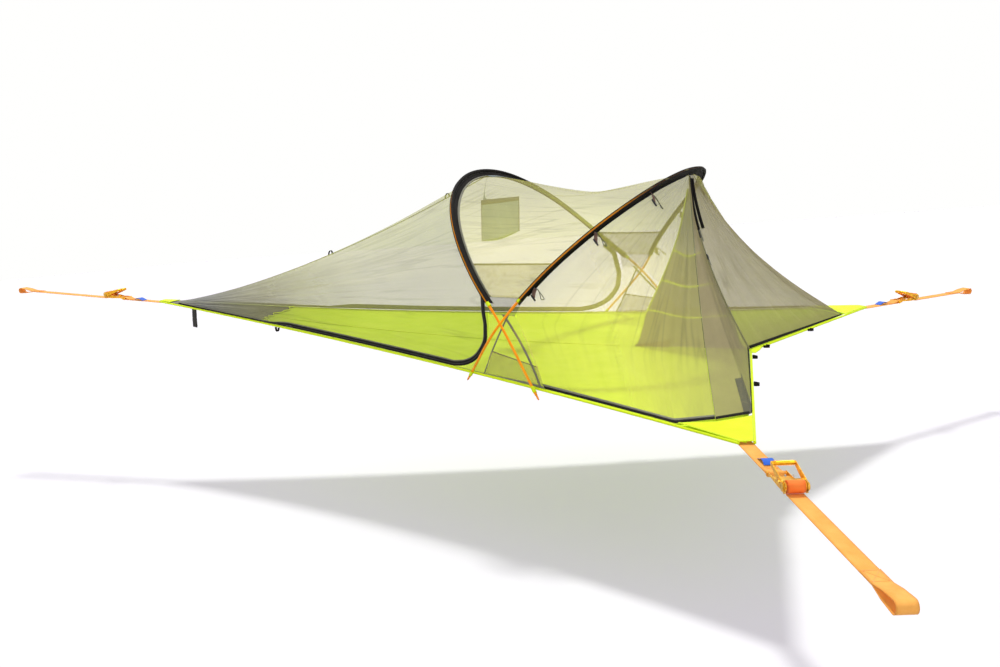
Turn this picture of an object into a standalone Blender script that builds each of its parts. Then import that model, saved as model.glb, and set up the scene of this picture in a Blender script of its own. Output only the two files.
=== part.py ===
"""Tree tent: a three-cornered mesh tent that ratchet straps hold taut between three trees.

Metres, +Z up. The origin lies in the plane of the hems, on the tent's centre line, between
the two places where the poles cross. +X runs from the tip, the corner with a strap of its
own, towards the short edge. The tent is the same on both sides of the plane Y = 0; the
near side is -Y and the far side is +Y.
"""

import math
from collections import namedtuple

import bmesh
import bpy
import numpy as np
from mathutils import Matrix, Vector
from mathutils.bvhtree import BVHTree

# Plan of the hems
TIP_REACH = 2.706
CORNER_REACH = 1.110
HALF_SHORT_EDGE = 1.350
SHORT_EDGE_INSET = 0.299
LONG_EDGE_SAG = 0.152
HEM_DIP = 0.028
HEM_RADIUS = 0.005
FLOOR_SAG = 0.030

# Straps
STRAP_WIDTH = 0.050
STRAP_THICKNESS = 0.0024
STRAP_ANGLE = math.radians(60)
STRAP_TUCK = 0.060
TIP_STRAP_LENGTH = 1.237
NEAR_STRAP_LENGTH = 1.120
FAR_STRAP_LENGTH = 0.990
EYE_LENGTH = 0.120
EYE_HEIGHT = 0.032
SEAM_LENGTH = 0.070

# Cloth and how its edges meet
GAP = 0.0003
CLOTH = 0.0020
SEAM_GAP = 0.0005
DOOR_FOLDS = 3
DOOR_FOLD_DEPTH = 0.006

# Poles and their sleeves
POLE_RADIUS = 0.00525
POLE_TIP_RADIUS = 0.0040
POLE_TIP_LENGTH = 0.022
CROSSING_HEIGHT = 0.211
CROSSING_SPAN = 0.874
CROSSING_CLEARANCE = 0.0016
TIP_ARCH_TOP_X = -0.528
TIP_ARCH_TOP_Z = 0.784
WIDE_ARCH_TOP_X = 0.538
WIDE_ARCH_TOP_Z = 0.801
TIP_POLE_FOOT_X = 0.195
WIDE_POLE_FOOT_X = -0.190
FOOT_DROP = 0.040
FOOT_STANDOFF = 0.022
HUB_HEIGHT = 0.350
SLEEVE_DEPTH = 0.040
SLEEVE_CLOTH = 0.0012
SLEEVE_START = 0.080
SLEEVE_SETBACK = 0.006
FOOT_TAB_LENGTH = 0.026
FOOT_TAB_RISE = 0.012
TIE_LENGTH = 0.022
TIE_DEPTH = 0.018

# Walls
TOE_SETBACK = 0.110
DOOR_CORNER_X = -0.300
DOOR_EDGE_X = -0.088
WALL_APEX_X = 0.030
WALL_APEX_HEIGHT = 0.240
KICK_FOOT_X = 0.225
CORNER_CUT_X = 0.840
RIDGE_FOOT_SETBACK_X = 0.155
RIDGE_FOOT_SETBACK_Y = 0.200
RIDGE_SAG = 0.090
TIP_RIDGE_SAG = 0.085
ROOF_SAG = 0.085
ZIP_WIDTH = 0.024
ZIP_THICKNESS = 0.0016
ZIP_LIFT = 0.0034
ZIP_EDGE = 0.003
ZIP_CORNER_REACH = 0.110
ZIP_CORNER_LIFT = 0.0095
SLIDER_LIFT = 0.0004
PATCH_SETBACK = 0.012
MIDDLE_PATCH_WIDTH = 0.020

# Things that hang inside and on the hem
DIVIDER_HEAD_DROP = 0.050
DIVIDER_FOOT_X = 0.268
DIVIDER_FOOT_RISE = 0.010
DIVIDER_HEAD_WIDTH = 0.010
DIVIDER_BEND_X = 0.030
DIVIDER_BEND_Z = 0.170
POCKET_BULGE = 0.030
POCKET_SLOPE = 0.037
TIE_OUT_DISTANCE = 0.334
POCKET_WIDTH = 0.205
POCKET_HEIGHT = 0.200
POCKET_DROP = 0.130
POCKET_BACK = 0.010
TIE_OUT_WIDTH = 0.040
TIE_OUT_LENGTH = 0.105
SLIDER_LENGTH = 0.026
SLIDER_WIDTH = 0.011
SLIDER_HEIGHT = 0.005
PULL_LENGTH = 0.034
PULL_WIDTH = 0.006
PULL_THICKNESS = 0.0016

# Ratchets
SPOOL_DISTANCE = 0.440
FRAME_LENGTH = 0.150
BOLT_DROP = 0.0150
SHAFT_RADIUS = 0.0060
BOLT_DISC_RADIUS = 0.0090
FRAME_TOP = 0.0025
FRAME_LOW_TOP = 0.0075
FRAME_BOTTOM = 0.0185
FRAME_STEP_START = 0.060
FRAME_STEP_END = 0.096
FRAME_HEEL = 0.052
FRAME_TOE = 0.118
FRAME_NECK = 0.0140
PAWL_ANGLE = math.radians(18)
PAWL_INNER = 0.0215
WINDOW_INNER = 0.0210
WINDOW_OUTER = 0.0440
NOSE_RADIUS = 0.0194
LOOP_RETURN = 0.070
LOOP_BEND = 0.028
HANDLE_SHOULDER = 0.060
ROLL_TURNS = 4
ROLL_SIDES = 12
PLATE = 0.0025
SIDE_CLEARANCE = 0.0020
RUNNING_GAP = 0.0005
ROLL_RADIUS = 0.0200
HEAD_RADIUS = 0.0115
HEAD_THICKNESS = 0.0020
WHEEL_RADIUS = 0.0190
WHEEL_ROOT = 0.0155
WHEEL_THICKNESS = 0.0030
WHEEL_TEETH = 10
BOLT_RADIUS = 0.0050
HANDLE_LENGTH = 0.108
HANDLE_REST = math.radians(18)
GRIP_RADIUS = 0.0065
ARM_HALF_HEIGHT = 0.0095
PAWL_THICKNESS = 0.0025
PAWL_LENGTH = 0.014
HUB_PLATE_RADIUS = 0.0130

# Powers that bend lines and spread rows
ZIP_BEND_POWER = 1.6
DOOR_COLUMN_POWER = 1.4
FLOOR_SAG_POWER = 1.5
POCKET_HANG_POWER = 6

# Shares that place one thing between others, or size it by another
THROAT_SHARE = 1.15
SILL_SHARE = 0.6
HUB_SHARE = 0.3
TAB_CLEARANCE_SHARE = 2.5
RIDGE_BEND_SHARE = 0.9
DOOR_ZIP_START = 0.28
DOOR_ZIP_TOP = 0.62
SLIDER_PLACE = 0.12
SLIDER_SPAN = 0.05
END_SLIDER_PLACE = 0.55
END_SLIDER_SPAN = 0.05
MIDDLE_PATCH_SHARE = 0.05
POCKET_FRONT_SHARE = 0.42
POCKET_FLOOR_SHARE = 0.16
POCKET_DEPTH_SHARE = 1.5
TIE_OUT_STEP_SHARE = 0.01
DIVIDER_LEAN_SHARE = 0.35
PULL_LOW_SHARE = 1.5
LOOP_STEP_SHARE = 1.6
EYE_MOUTH_SHARE = 0.6
EYE_MOUTH_HEIGHT_SHARE = 0.7
HUB_TURN_SHARE = 1.046
DOOR_HEART_SHARES = (0.6, 0.5)
TOOTH_SHARES = (0.55, 0.80)
HANDLE_TAPER = 0.7
POCKET_HANG_START = 0.88
ROLL_PITCH_SHARE = 1.02
CORNER_CUT_SHARE = 0.46
DOOR_EDGE_SHARES = ((0.31, 0.06), (0.50, 0.13), (0.66, 0.22), (0.82, 0.37), (0.94, 0.54), (1.0, 0.85))

# Counts along the arches, in stations
DOOR_SEAM_START = 1.2
SIDE_SEAM_START = 0.35
ROOF_START = 0.7
WIDE_HEAD_STATIONS = 1.4
RIDGE_HEAD_STATIONS = 0.6

# Fineness of the meshes
WRAP_SIDES = 5
PROFILE_COUNT = 61
DOOR_ARCH_ROWS = 11
DOOR_COLUMNS = 16
DOOR_ZIP_STEPS = 24
DOOR_ZIP_RISE_STEPS = 12
DOOR_ZIP_COLUMNS = 60
END_ZIP_STEPS = 10
TUBE_DETAIL_COUNT = 2
ARCH_STATIONS = 32
HEM_STATIONS = 24
ROUND_SIDES = 12

# Where each arch runs between the crossing and its top, as shares of that stretch:
# along X, of the half span that is left, and of the height
TIP_ARCH_SHARES = (
    (0.337, 0.892, 0.307),
    (0.560, 0.780, 0.530),
    (0.746, 0.633, 0.726),
    (0.886, 0.446, 0.874),
    (0.972, 0.230, 0.969),
)
WIDE_ARCH_SHARES = (
    (0.255, 0.859, 0.331),
    (0.472, 0.732, 0.553),
    (0.686, 0.588, 0.744),
    (0.864, 0.421, 0.890),
    (0.972, 0.223, 0.976),
)

Arch = namedtuple("Arch", "points tangents inward sideways first last")
Corner = namedtuple("Corner", "name point angle length")


def clear_scene():
    """Remove what the scene holds, so that only the tent is left in it."""
    for obj in list(bpy.data.objects):
        bpy.data.objects.remove(obj, do_unlink=True)


def new_collection(name):
    """Return a fresh collection that is linked to the scene."""
    collection = bpy.data.collections.new(name)
    bpy.context.scene.collection.children.link(collection)
    return collection


def make_material(name, colour, roughness, metallic=0.0, alpha=1.0):
    """Return a Principled material of one colour."""
    material = bpy.data.materials.new(name)
    material.use_nodes = True
    shader = material.node_tree.nodes["Principled BSDF"]
    shader.inputs["Base Color"].default_value = (*colour, 1.0)
    shader.inputs["Roughness"].default_value = roughness
    shader.inputs["Metallic"].default_value = metallic
    shader.inputs["Alpha"].default_value = alpha
    material.diffuse_color = (*colour, alpha)
    return material


def make_materials():
    """Return every finish of the tent by its name."""
    return {
        "mesh": make_material("mesh", (0.55, 0.53, 0.44), 0.8, alpha=0.6),
        "dark_mesh": make_material("dark_mesh", (0.25, 0.26, 0.22), 0.8, alpha=0.8),
        "floor": make_material("floor", (0.66, 0.90, 0.05), 0.6),
        "hem": make_material("hem", (0.70, 0.95, 0.08), 0.6),
        "sleeve": make_material("sleeve", (0.02, 0.02, 0.02), 0.8),
        "zip": make_material("zip", (0.03, 0.03, 0.03), 0.7),
        "slider": make_material("slider", (0.05, 0.05, 0.05), 0.4, 0.9),
        "pole": make_material("pole", (0.95, 0.35, 0.02), 0.3, 0.6),
        "webbing": make_material("webbing", (0.98, 0.36, 0.10), 0.7),
        "tie_webbing": make_material("tie_webbing", (0.03, 0.03, 0.03), 0.7),
        "steel": make_material("steel", (0.85, 0.62, 0.12), 0.35, 1.0),
    }


class Builder:
    """Makes the tent's objects, each with its own material, in one collection."""

    def __init__(self, collection, cutters, materials):
        self.collection = collection
        self.cutters = cutters
        self.materials = materials

    def add(self, name, data, finish=None, matrix=None):
        """Link data as an object of the given name; return the object."""
        obj = bpy.data.objects.new(name, data)
        self.collection.objects.link(obj)
        if matrix is not None:
            obj.matrix_world = matrix
        if finish is not None:
            data.materials.clear()
            data.materials.append(self.materials[finish])
        return obj

    def sheet(self, name, surface, columns, rows, thickness, finish, matrix=None):
        """Shape a grid by surface(u, v), with u and v from 0 to 1, and give it a thickness."""
        bm = bmesh.new()
        bmesh.ops.create_grid(bm, x_segments=columns, y_segments=rows, size=1.0)
        for vert in bm.verts:
            vert.co = surface((vert.co.x + 1) / 2, (vert.co.y + 1) / 2)
        data = bpy.data.meshes.new(name)
        bm.to_mesh(data)
        bm.free()
        obj = self.add(name, data, finish, matrix)
        wall = obj.modifiers.new("Thickness", "SOLIDIFY")
        wall.thickness = thickness
        wall.offset = 0.0
        return obj

    def tube(self, name, points, radius, finish, shares=None):
        """A round tube along points; shares scales its radius at each of them."""
        curve = bpy.data.curves.new(name, "CURVE")
        curve.dimensions = "3D"
        curve.bevel_depth = radius
        curve.bevel_resolution = TUBE_DETAIL_COUNT
        curve.use_fill_caps = True
        spline = curve.splines.new("POLY")
        spline.points.add(len(points) - 1)
        for index, point in enumerate(points):
            spline.points[index].co = (*point, 1.0)
            if shares is not None:
                spline.points[index].radius = shares[index]
        return self.add(name, curve, finish)

    def plate(self, outlines, low, high):
        """A mesh of flat outlines in X and Z, the first one cut by the rest, from low to high on Y."""
        curve = bpy.data.curves.new("Outline", "CURVE")
        curve.dimensions = "2D"
        curve.fill_mode = "BOTH"
        curve.extrude = (high - low) / 2
        for outline in outlines:
            spline = curve.splines.new("POLY")
            spline.points.add(len(outline) - 1)
            for point, (x, z) in zip(spline.points, outline):
                point.co = (x, z, 0.0, 1.0)
            spline.use_cyclic_u = True
        obj = bpy.data.objects.new("Outline", curve)
        self.collection.objects.link(obj)
        bpy.context.view_layer.update()
        evaluated = obj.evaluated_get(bpy.context.evaluated_depsgraph_get())
        data = bpy.data.meshes.new_from_object(evaluated)
        bpy.data.objects.remove(obj, do_unlink=True)
        upright = Matrix.Translation((0, (low + high) / 2, 0)) @ Matrix.Rotation(math.pi / 2, 4, "X")
        data.transform(upright)
        bm = bmesh.new()
        bm.from_mesh(data)
        bmesh.ops.remove_doubles(bm, verts=bm.verts, dist=GAP / 10)
        bmesh.ops.recalc_face_normals(bm, faces=bm.faces)
        bm.to_mesh(data)
        bm.free()
        return data

    def joined(self, name, pieces, finish, matrix=None):
        """One solid from overlapping meshes, by Boolean union; return its object."""
        base = self.add(name, pieces[0], finish)
        extras = []
        for piece in pieces[1:]:
            other = bpy.data.objects.new(name + "_piece", piece)
            self.cutters.objects.link(other)
            union = base.modifiers.new("Union", "BOOLEAN")
            union.operation = "UNION"
            union.solver = "EXACT"
            union.object = other
            extras.append(other)
        bpy.context.view_layer.update()
        evaluated = base.evaluated_get(bpy.context.evaluated_depsgraph_get())
        data = bpy.data.meshes.new_from_object(evaluated)
        for obj in [base] + extras:
            bpy.data.objects.remove(obj, do_unlink=True)
        return self.add(name, data, finish, matrix)


def mesh_of(bm):
    """Return a new mesh that holds the bmesh, and free the bmesh."""
    bmesh.ops.recalc_face_normals(bm, faces=bm.faces)
    data = bpy.data.meshes.new("Piece")
    bm.to_mesh(data)
    bm.free()
    return data


def box_mesh(low, high):
    """A box mesh between two corners."""
    bm = bmesh.new()
    bmesh.ops.create_cube(bm, size=1.0)
    low = Vector(low)
    high = Vector(high)
    bmesh.ops.scale(bm, vec=high - low, verts=bm.verts)
    bmesh.ops.translate(bm, vec=(low + high) / 2, verts=bm.verts)
    return mesh_of(bm)


def cylinder_mesh(radius, low, high, x=0.0, z=0.0):
    """A cylinder mesh along Y, from low to high, about the line at x and z."""
    bm = bmesh.new()
    turn = Matrix.Rotation(math.pi / 2, 4, "X")
    place = Matrix.Translation((x, (low + high) / 2, z)) @ turn
    bmesh.ops.create_cone(
        bm,
        cap_ends=True,
        segments=ROUND_SIDES,
        radius1=radius,
        radius2=radius,
        depth=high - low,
        matrix=place,
    )
    return mesh_of(bm)


def circle(radius, x=0.0, z=0.0, sides=ROUND_SIDES):
    """Points of a circle's outline."""
    step = 2 * math.pi / sides
    return [(x + radius * math.cos(i * step), z + radius * math.sin(i * step)) for i in range(sides)]


def arc(radius, start, end, count, x=0.0, z=0.0):
    """Points of an arc's outline, from the start angle to the end angle."""
    angles = [start + (end - start) * i / (count - 1) for i in range(count)]
    return [(x + radius * math.cos(a), z + radius * math.sin(a)) for a in angles]


def lerp(a, b, share):
    """The point or number that lies share of the way from a to b."""
    return a + (b - a) * share


def smooth(share):
    """A step from 0 to 1 that starts and ends level."""
    return share * share * (3 - 2 * share)


def along(points, count):
    """Points at even distances along the smooth curve through the given points."""
    knots = np.array([tuple(p) for p in points])
    chord = np.linalg.norm(np.diff(knots, axis=0), axis=1)
    place = np.concatenate([[0.0], np.cumsum(chord)])
    slopes = np.gradient(knots, place, axis=0)
    fine = []
    steps = 12
    for i in range(len(knots) - 1):
        for t in np.arange(steps) / steps:
            h00 = 2 * t**3 - 3 * t**2 + 1
            h10 = t**3 - 2 * t**2 + t
            h01 = 3 * t**2 - 2 * t**3
            h11 = t**3 - t**2
            fine.append(
                h00 * knots[i]
                + h10 * chord[i] * slopes[i]
                + h01 * knots[i + 1]
                + h11 * chord[i] * slopes[i + 1]
            )
    fine.append(knots[-1])
    return resampled(fine, count)


def resampled(points, count):
    """Points at even distances along a line of straight runs."""
    line = np.array([tuple(p) for p in points])
    place = np.concatenate([[0.0], np.cumsum(np.linalg.norm(np.diff(line, axis=0), axis=1))])
    wanted = np.linspace(0.0, place[-1], count)
    return [Vector([np.interp(w, place, line[:, axis]) for axis in range(3)]) for w in wanted]


def at(points, share):
    """The point that lies share of the way along an evenly spaced line of points."""
    place = min(max(share, 0.0), 1.0) * (len(points) - 1)
    index = min(int(place), len(points) - 2)
    return points[index].lerp(points[index + 1], place - index)


def mirrored(point):
    """The same place on the tent's other side."""
    return Vector((point.x, -point.y, point.z))


# Hems

TIP_CORNER = Vector((-TIP_REACH, 0, 0))
NEAR_CORNER = Vector((CORNER_REACH, -HALF_SHORT_EDGE, 0))
MIDDLE = Vector((CORNER_REACH - SHORT_EDGE_INSET, 0, 0))
ACROSS_NEAR = Vector((math.sin(STRAP_ANGLE), math.cos(STRAP_ANGLE), 0))
NEAR_HEM_START = TIP_CORNER - Vector((0, STRAP_WIDTH / 2, 0))
NEAR_HEM_END = NEAR_CORNER - ACROSS_NEAR * STRAP_WIDTH / 2
END_HEM_START = NEAR_CORNER + ACROSS_NEAR * STRAP_WIDTH / 2
HEM_CHORD = NEAR_HEM_END - NEAR_HEM_START
HEM_INWARD = Vector((-HEM_CHORD.y, HEM_CHORD.x, 0)).normalized()


def hem_point(share, inset=0.0, rise=0.0):
    """A point on the near long hem; inset moves it in over the floor and rise moves it up."""
    bow = 4 * share * (1 - share)
    point = NEAR_HEM_START + HEM_CHORD * share + HEM_INWARD * (LONG_EDGE_SAG * bow + inset)
    point.z = rise - HEM_DIP * bow
    return point


def hem_share(x):
    """How far along the near long hem its point with this X lies."""
    low = 0.0
    high = 1.0
    while high - low > 1e-7:
        middle = (low + high) / 2
        if hem_point(middle).x < x:
            low = middle
        else:
            high = middle
    return low


def end_hem_line(inset=0.0, rise=0.0):
    """The short hem from the near corner to the far one, through the pulled-in middle."""
    shift = Vector((-inset, 0, rise))
    near = [END_HEM_START + shift, lerp(END_HEM_START, MIDDLE, 0.5) + shift]
    return near + [MIDDLE + shift] + [mirrored(p) for p in reversed(near)]


CLOTH_REACH = CLOTH / 2 + SEAM_GAP
SILL_INSET = HEM_RADIUS * SILL_SHARE
SILL_RISE = math.sqrt((HEM_RADIUS + CLOTH_REACH) ** 2 - SILL_INSET**2)
FLOOR_INSET = HEM_RADIUS + CLOTH_REACH - CLOTH / 2


def sill_line(start_x, end_x, count):
    """The line just inside and above the near long hem that a wall stands on."""
    start = hem_share(start_x)
    end = hem_share(end_x)
    shares = [lerp(start, end, i / (count - 1)) for i in range(count)]
    return [hem_point(share, SILL_INSET, SILL_RISE) for share in shares]


RIDGE_FOOT_X = CORNER_REACH - RIDGE_FOOT_SETBACK_X
RIDGE_FOOT_Y = RIDGE_FOOT_SETBACK_Y - HALF_SHORT_EDGE
RIDGE_FOOT = Vector((RIDGE_FOOT_X, RIDGE_FOOT_Y, SILL_RISE))


# Arches


def crossing(side):
    """Where a pole passes the other one on the near side; side is 1 for the outer pole."""
    offset = side * (POLE_RADIUS + CROSSING_CLEARANCE)
    return Vector((0, -CROSSING_SPAN - offset, CROSSING_HEIGHT))


def make_arch(foot_x, top_x, top_z, shares, side):
    """The axis of a pole from its near foot over the top to its far foot, with its directions."""
    foot = hem_point(hem_share(foot_x))
    foot = Vector((foot_x, foot.y - FOOT_STANDOFF, -FOOT_DROP))
    cross = crossing(side)
    half = [foot, cross]
    for run, span, rise in shares:
        half.append(Vector((top_x * run, cross.y * span, lerp(cross.z, top_z, rise))))
    top = Vector((top_x, 0, top_z))
    whole = half + [top] + [mirrored(p) for p in reversed(half)]
    points = along(whole, ARCH_STATIONS * 2 + 1)
    points[ARCH_STATIONS] = Vector((points[ARCH_STATIONS].x, 0, points[ARCH_STATIONS].z))
    hub = Vector((top_x * HUB_SHARE, 0, HUB_HEIGHT))
    tangents = []
    inward = []
    sideways = []
    for i, point in enumerate(points):
        before = points[max(i - 1, 0)]
        after = points[min(i + 1, len(points) - 1)]
        tangent = (after - before).normalized()
        towards = hub - point
        towards = (towards - tangent * towards.dot(tangent)).normalized()
        tangents.append(tangent)
        inward.append(towards)
        sideways.append(tangent.cross(towards).normalized())
    first = next(i for i, p in enumerate(points) if p.z > cross.z and (p - cross).length > SLEEVE_START)
    last = len(points) - 1 - first
    return Arch(points, tangents, inward, sideways, first, last)


def arch_point(arch, place, depth, shift):
    """A point beside an arch: depth runs inwards from its axis, shift to its side."""
    index = min(int(place), len(arch.points) - 2)
    share = place - index
    axis = arch.points[index].lerp(arch.points[index + 1], share)
    inward = arch.inward[index].lerp(arch.inward[index + 1], share)
    sideways = arch.sideways[index].lerp(arch.sideways[index + 1], share)
    return axis + inward * depth + sideways * shift


def seam_line(arch, shift, count, start=None, end=None):
    """The line along a sleeve's flange that a wall is sewn to, on one of its sides."""
    start = arch.first if start is None else start
    end = arch.last if end is None else end
    places = [lerp(start, end, i / (count - 1)) for i in range(count)]
    return [arch_point(arch, place, SLEEVE_DEPTH - SLEEVE_SETBACK, shift) for place in places]


SEAM_SHIFT = SLEEVE_CLOTH / 2 + CLOTH_REACH
POLE_WRAP = (POLE_RADIUS + SEAM_GAP + SLEEVE_CLOTH / 2) / math.cos(math.pi / 5)


def wrap_profile(depth):
    """Depth and shift of the cloth that wraps a pole and ends in a flange of the given depth."""
    profile = [(depth, 0.0), (POLE_WRAP * THROAT_SHARE, 0.0)]
    for turn in range(1, WRAP_SIDES):
        angle = turn * 2 * math.pi / WRAP_SIDES
        profile.append((POLE_WRAP * math.cos(angle), POLE_WRAP * math.sin(angle)))
    return profile


def build_wrap(builder, name, arch, start, end, depth, finish, steps):
    """Cloth that wraps a pole between two places along it, with a flange towards the tent."""
    profile = wrap_profile(depth)

    def surface(u, v):
        """The point u along the pole and v along the profile."""
        index = min(int(v * (len(profile) - 1) + 1e-6), len(profile) - 2)
        share = v * (len(profile) - 1) - index
        deep = lerp(profile[index][0], profile[index + 1][0], share)
        shift = lerp(profile[index][1], profile[index + 1][1], share)
        return arch_point(arch, lerp(start, end, u), deep, shift)

    builder.sheet(name, surface, steps, len(profile) - 1, SLEEVE_CLOTH, finish)


def build_pole(builder, name, arch):
    """A shock-corded pole, with the bare tip that goes into the foot tab at each end."""
    points = []
    shares = []
    tip = POLE_TIP_RADIUS / POLE_RADIUS
    ends = ((arch.points[0], arch.tangents[0]), (arch.points[-1], arch.tangents[-1]))
    points += [ends[0][0] - ends[0][1] * POLE_TIP_LENGTH, ends[0][0]]
    points += [ends[0][0] + ends[0][1] * GAP]
    points += arch.points[1:-1]
    points += [ends[1][0] - ends[1][1] * GAP]
    points += [ends[1][0], ends[1][0] + ends[1][1] * POLE_TIP_LENGTH]
    shares = [tip, tip] + [1.0] * (len(points) - 4) + [tip, tip]
    builder.tube(name, points, POLE_RADIUS, "pole", shares)


def reach_to_hem(arch, places):
    """How deep a tab's flange goes from the pole before it meets the near hem."""
    depth = POLE_WRAP * THROAT_SHARE
    wanted = HEM_RADIUS + SLEEVE_CLOTH / 2 + SEAM_GAP * TAB_CLEARANCE_SHARE
    while depth < SLEEVE_DEPTH:
        ends = [arch_point(arch, place, depth + GAP, 0.0) for place in places]
        if min((end - hem_point(hem_share(end.x))).length for end in ends) < wanted:
            break
        depth += GAP
    return depth


def build_arches(builder, tip_arch, wide_arch):
    """Both poles with their sleeves, foot tabs and the ties at the crossings."""
    for name, arch in (("tip", tip_arch), ("wide", wide_arch)):
        build_pole(builder, name + "_pole", arch)
        steps = arch.last - arch.first
        build_wrap(
            builder, name + "_sleeve", arch, arch.first, arch.last, SLEEVE_DEPTH, "sleeve", steps
        )
        spacing = (arch.points[1] - arch.points[0]).length
        low = FOOT_TAB_RISE / spacing
        high = low + FOOT_TAB_LENGTH / spacing
        reach = reach_to_hem(arch, (low, (low + high) / 2, high))
        end = len(arch.points) - 1
        build_wrap(builder, f"{name}_pole_near_foot_tab", arch, low, high, reach, "hem", 1)
        build_wrap(builder, f"{name}_pole_far_foot_tab", arch, end - high, end - low, reach, "hem", 1)
    spacing = (tip_arch.points[1] - tip_arch.points[0]).length
    high = tip_arch.first - SEAM_GAP / spacing
    low = high - TIE_LENGTH / spacing
    end = len(tip_arch.points) - 1
    build_wrap(builder, "near_crossing_tie", tip_arch, low, high, TIE_DEPTH, "hem", 1)
    build_wrap(builder, "far_crossing_tie", tip_arch, end - high, end - low, TIE_DEPTH, "hem", 1)


# Walls


def loft(start, end, bottom, top):
    """A surface between two side lines, drawn to the bottom and top lines near these."""

    def surface(u, v):
        """The point u across from start to end and v up from bottom to top."""
        ruled = lerp(at(start, v), at(end, v), u)
        low = at(bottom, u) - lerp(start[0], end[0], u)
        high = at(top, u) - lerp(start[-1], end[-1], u)
        blend = smooth(v)
        return ruled + low * (1 - blend) + high * blend

    return surface


def sagging(start, end, sag, count, power=1.0):
    """Points of a line that hangs below the straight run between two points."""
    points = []
    for i in range(count):
        share = i / (count - 1)
        point = lerp(start, end, share)
        bend = share**power
        point.z -= sag * 4 * bend * (1 - bend)
        points.append(point)
    return points


def wall_point(tip_arch, x, height):
    """A point of the low upright wall between the near hem and the crossing."""
    foot = hem_point(hem_share(x), SILL_INSET, SILL_RISE)
    head = arch_point(tip_arch, tip_arch.first, SLEEVE_DEPTH - SLEEVE_SETBACK, 0.0)
    share = height / WALL_APEX_HEIGHT
    return Vector((x, lerp(foot.y, head.y, share), lerp(foot.z, WALL_APEX_HEIGHT, share)))


def door_profile(tip_arch):
    """The line from the near hem up the low wall and up the tip sleeve to the ridge."""
    heights = (0.0, DOOR_EDGE_SHARES[-1][1] * WALL_APEX_HEIGHT)
    wall = [wall_point(tip_arch, DOOR_EDGE_X, height) for height in heights]
    start = tip_arch.first + DOOR_SEAM_START
    seam = seam_line(tip_arch, SEAM_SHIFT, 25, start, ARCH_STATIONS)
    seam[-1].y = -RIDGE_HALF_GAP
    return resampled(wall + seam, PROFILE_COUNT)


def door_side(tip_arch):
    """The surface from the tip corner to the tip arch: its height profile, shrunk to the tip."""
    toe_x = TOE_SETBACK - TIP_REACH
    profile = door_profile(tip_arch)
    toe = hem_point(hem_share(toe_x), SILL_INSET, SILL_RISE)
    toe_top = Vector((toe_x, -RIDGE_HALF_GAP, toe.z + CLOTH))
    low = profile[0]
    high = profile[-1]
    bottom = sill_line(toe_x, DOOR_EDGE_X, PROFILE_COUNT)
    bottom[-1] = low
    top = sagging(toe_top, high, TIP_RIDGE_SAG, PROFILE_COUNT, RIDGE_BEND_SHARE)

    def surface(u, v):
        """u from the tip to the arch, v from the hem to the ridge."""
        place = at(profile, v)
        foot = at(bottom, u)
        head = at(top, u)
        shares = [(place[i] - low[i]) / (high[i] - low[i]) for i in range(3)]
        return Vector([lerp(foot[i], head[i], shares[i]) for i in range(3)])

    return surface


def side_place(tip_arch, x, height):
    """Where a place low on the wall lies on the door's side surface, as its u and v."""
    start = hem_share(TOE_SETBACK - TIP_REACH)
    end = hem_share(DOOR_EDGE_X)
    profile = door_profile(tip_arch)
    step = (profile[1] - profile[0]).length
    rise = (profile[1].z - profile[0].z) / step
    length = step * (len(profile) - 1)
    return (hem_share(x) - start) / (end - start), height / rise / length


def both_sides(builder, name, surface, columns, rows, finish):
    """The same sheet on the near side and, mirrored, on the far side; return the near one."""
    builder.sheet("far_" + name, lambda u, v: mirrored(surface(u, v)), columns, rows, CLOTH, finish)
    return builder.sheet("near_" + name, surface, columns, rows, CLOTH, finish)


RIDGE_HALF_GAP = GAP + CLOTH / 2


def build_doors(builder, tip_arch):
    """The two long doors, from the tip corner to the tip arch."""
    side = door_side(tip_arch)
    edge = [side_place(tip_arch, DOOR_CORNER_X, 0.0)]
    for run, rise in DOOR_EDGE_SHARES:
        x = lerp(DOOR_CORNER_X, DOOR_EDGE_X, run)
        edge.append(side_place(tip_arch, x, rise * WALL_APEX_HEIGHT))
    corner = edge[-1][1]
    for i in range(1, DOOR_ARCH_ROWS + 1):
        edge.append((1.0, lerp(corner, 1.0, i / DOOR_ARCH_ROWS)))
    rows = len(edge) - 1

    def surface(u, v):
        """The door's cloth, with shallow folds that fan out from the tip."""
        index = min(int(v * rows + 1e-6), rows - 1)
        share = v * rows - index
        across = lerp(edge[index][0], edge[index + 1][0], share)
        up = lerp(edge[index][1], edge[index + 1][1], share)
        u = 1.0 - (1.0 - u) ** DOOR_COLUMN_POWER
        point = side(u * across, lerp(v, up, u))
        swell = math.sin(math.pi * v) ** 2 * math.sin(math.pi * u) ** 2
        point.z += DOOR_FOLD_DEPTH * swell * math.sin(2 * math.pi * DOOR_FOLDS * v)
        return point

    return surface, both_sides(builder, "door", surface, DOOR_COLUMNS, rows, "mesh")


def build_kick_panels(builder, tip_arch):
    """The low panel on each side, under the crossing, between the door and the side wall."""
    side = door_side(tip_arch)
    edge = [(0.0, 0.0)] + list(DOOR_EDGE_SHARES) + [(1.0, 1.0)]
    rows = len(edge) - 1

    def surface(u, v):
        """u from the door's edge to the side wall's edge, v from the hem up."""
        run, rise = edge[round(v * rows)]
        height = rise * WALL_APEX_HEIGHT
        start = lerp(DOOR_CORNER_X, DOOR_EDGE_X, run) + CLOTH + GAP * 2
        x = lerp(start, lerp(KICK_FOOT_X, WALL_APEX_X, rise), u)
        if x < DOOR_EDGE_X:
            return side(*side_place(tip_arch, x, height))
        return wall_point(tip_arch, x, height)

    both_sides(builder, "kick_panel", surface, 7, rows, "mesh")


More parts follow.
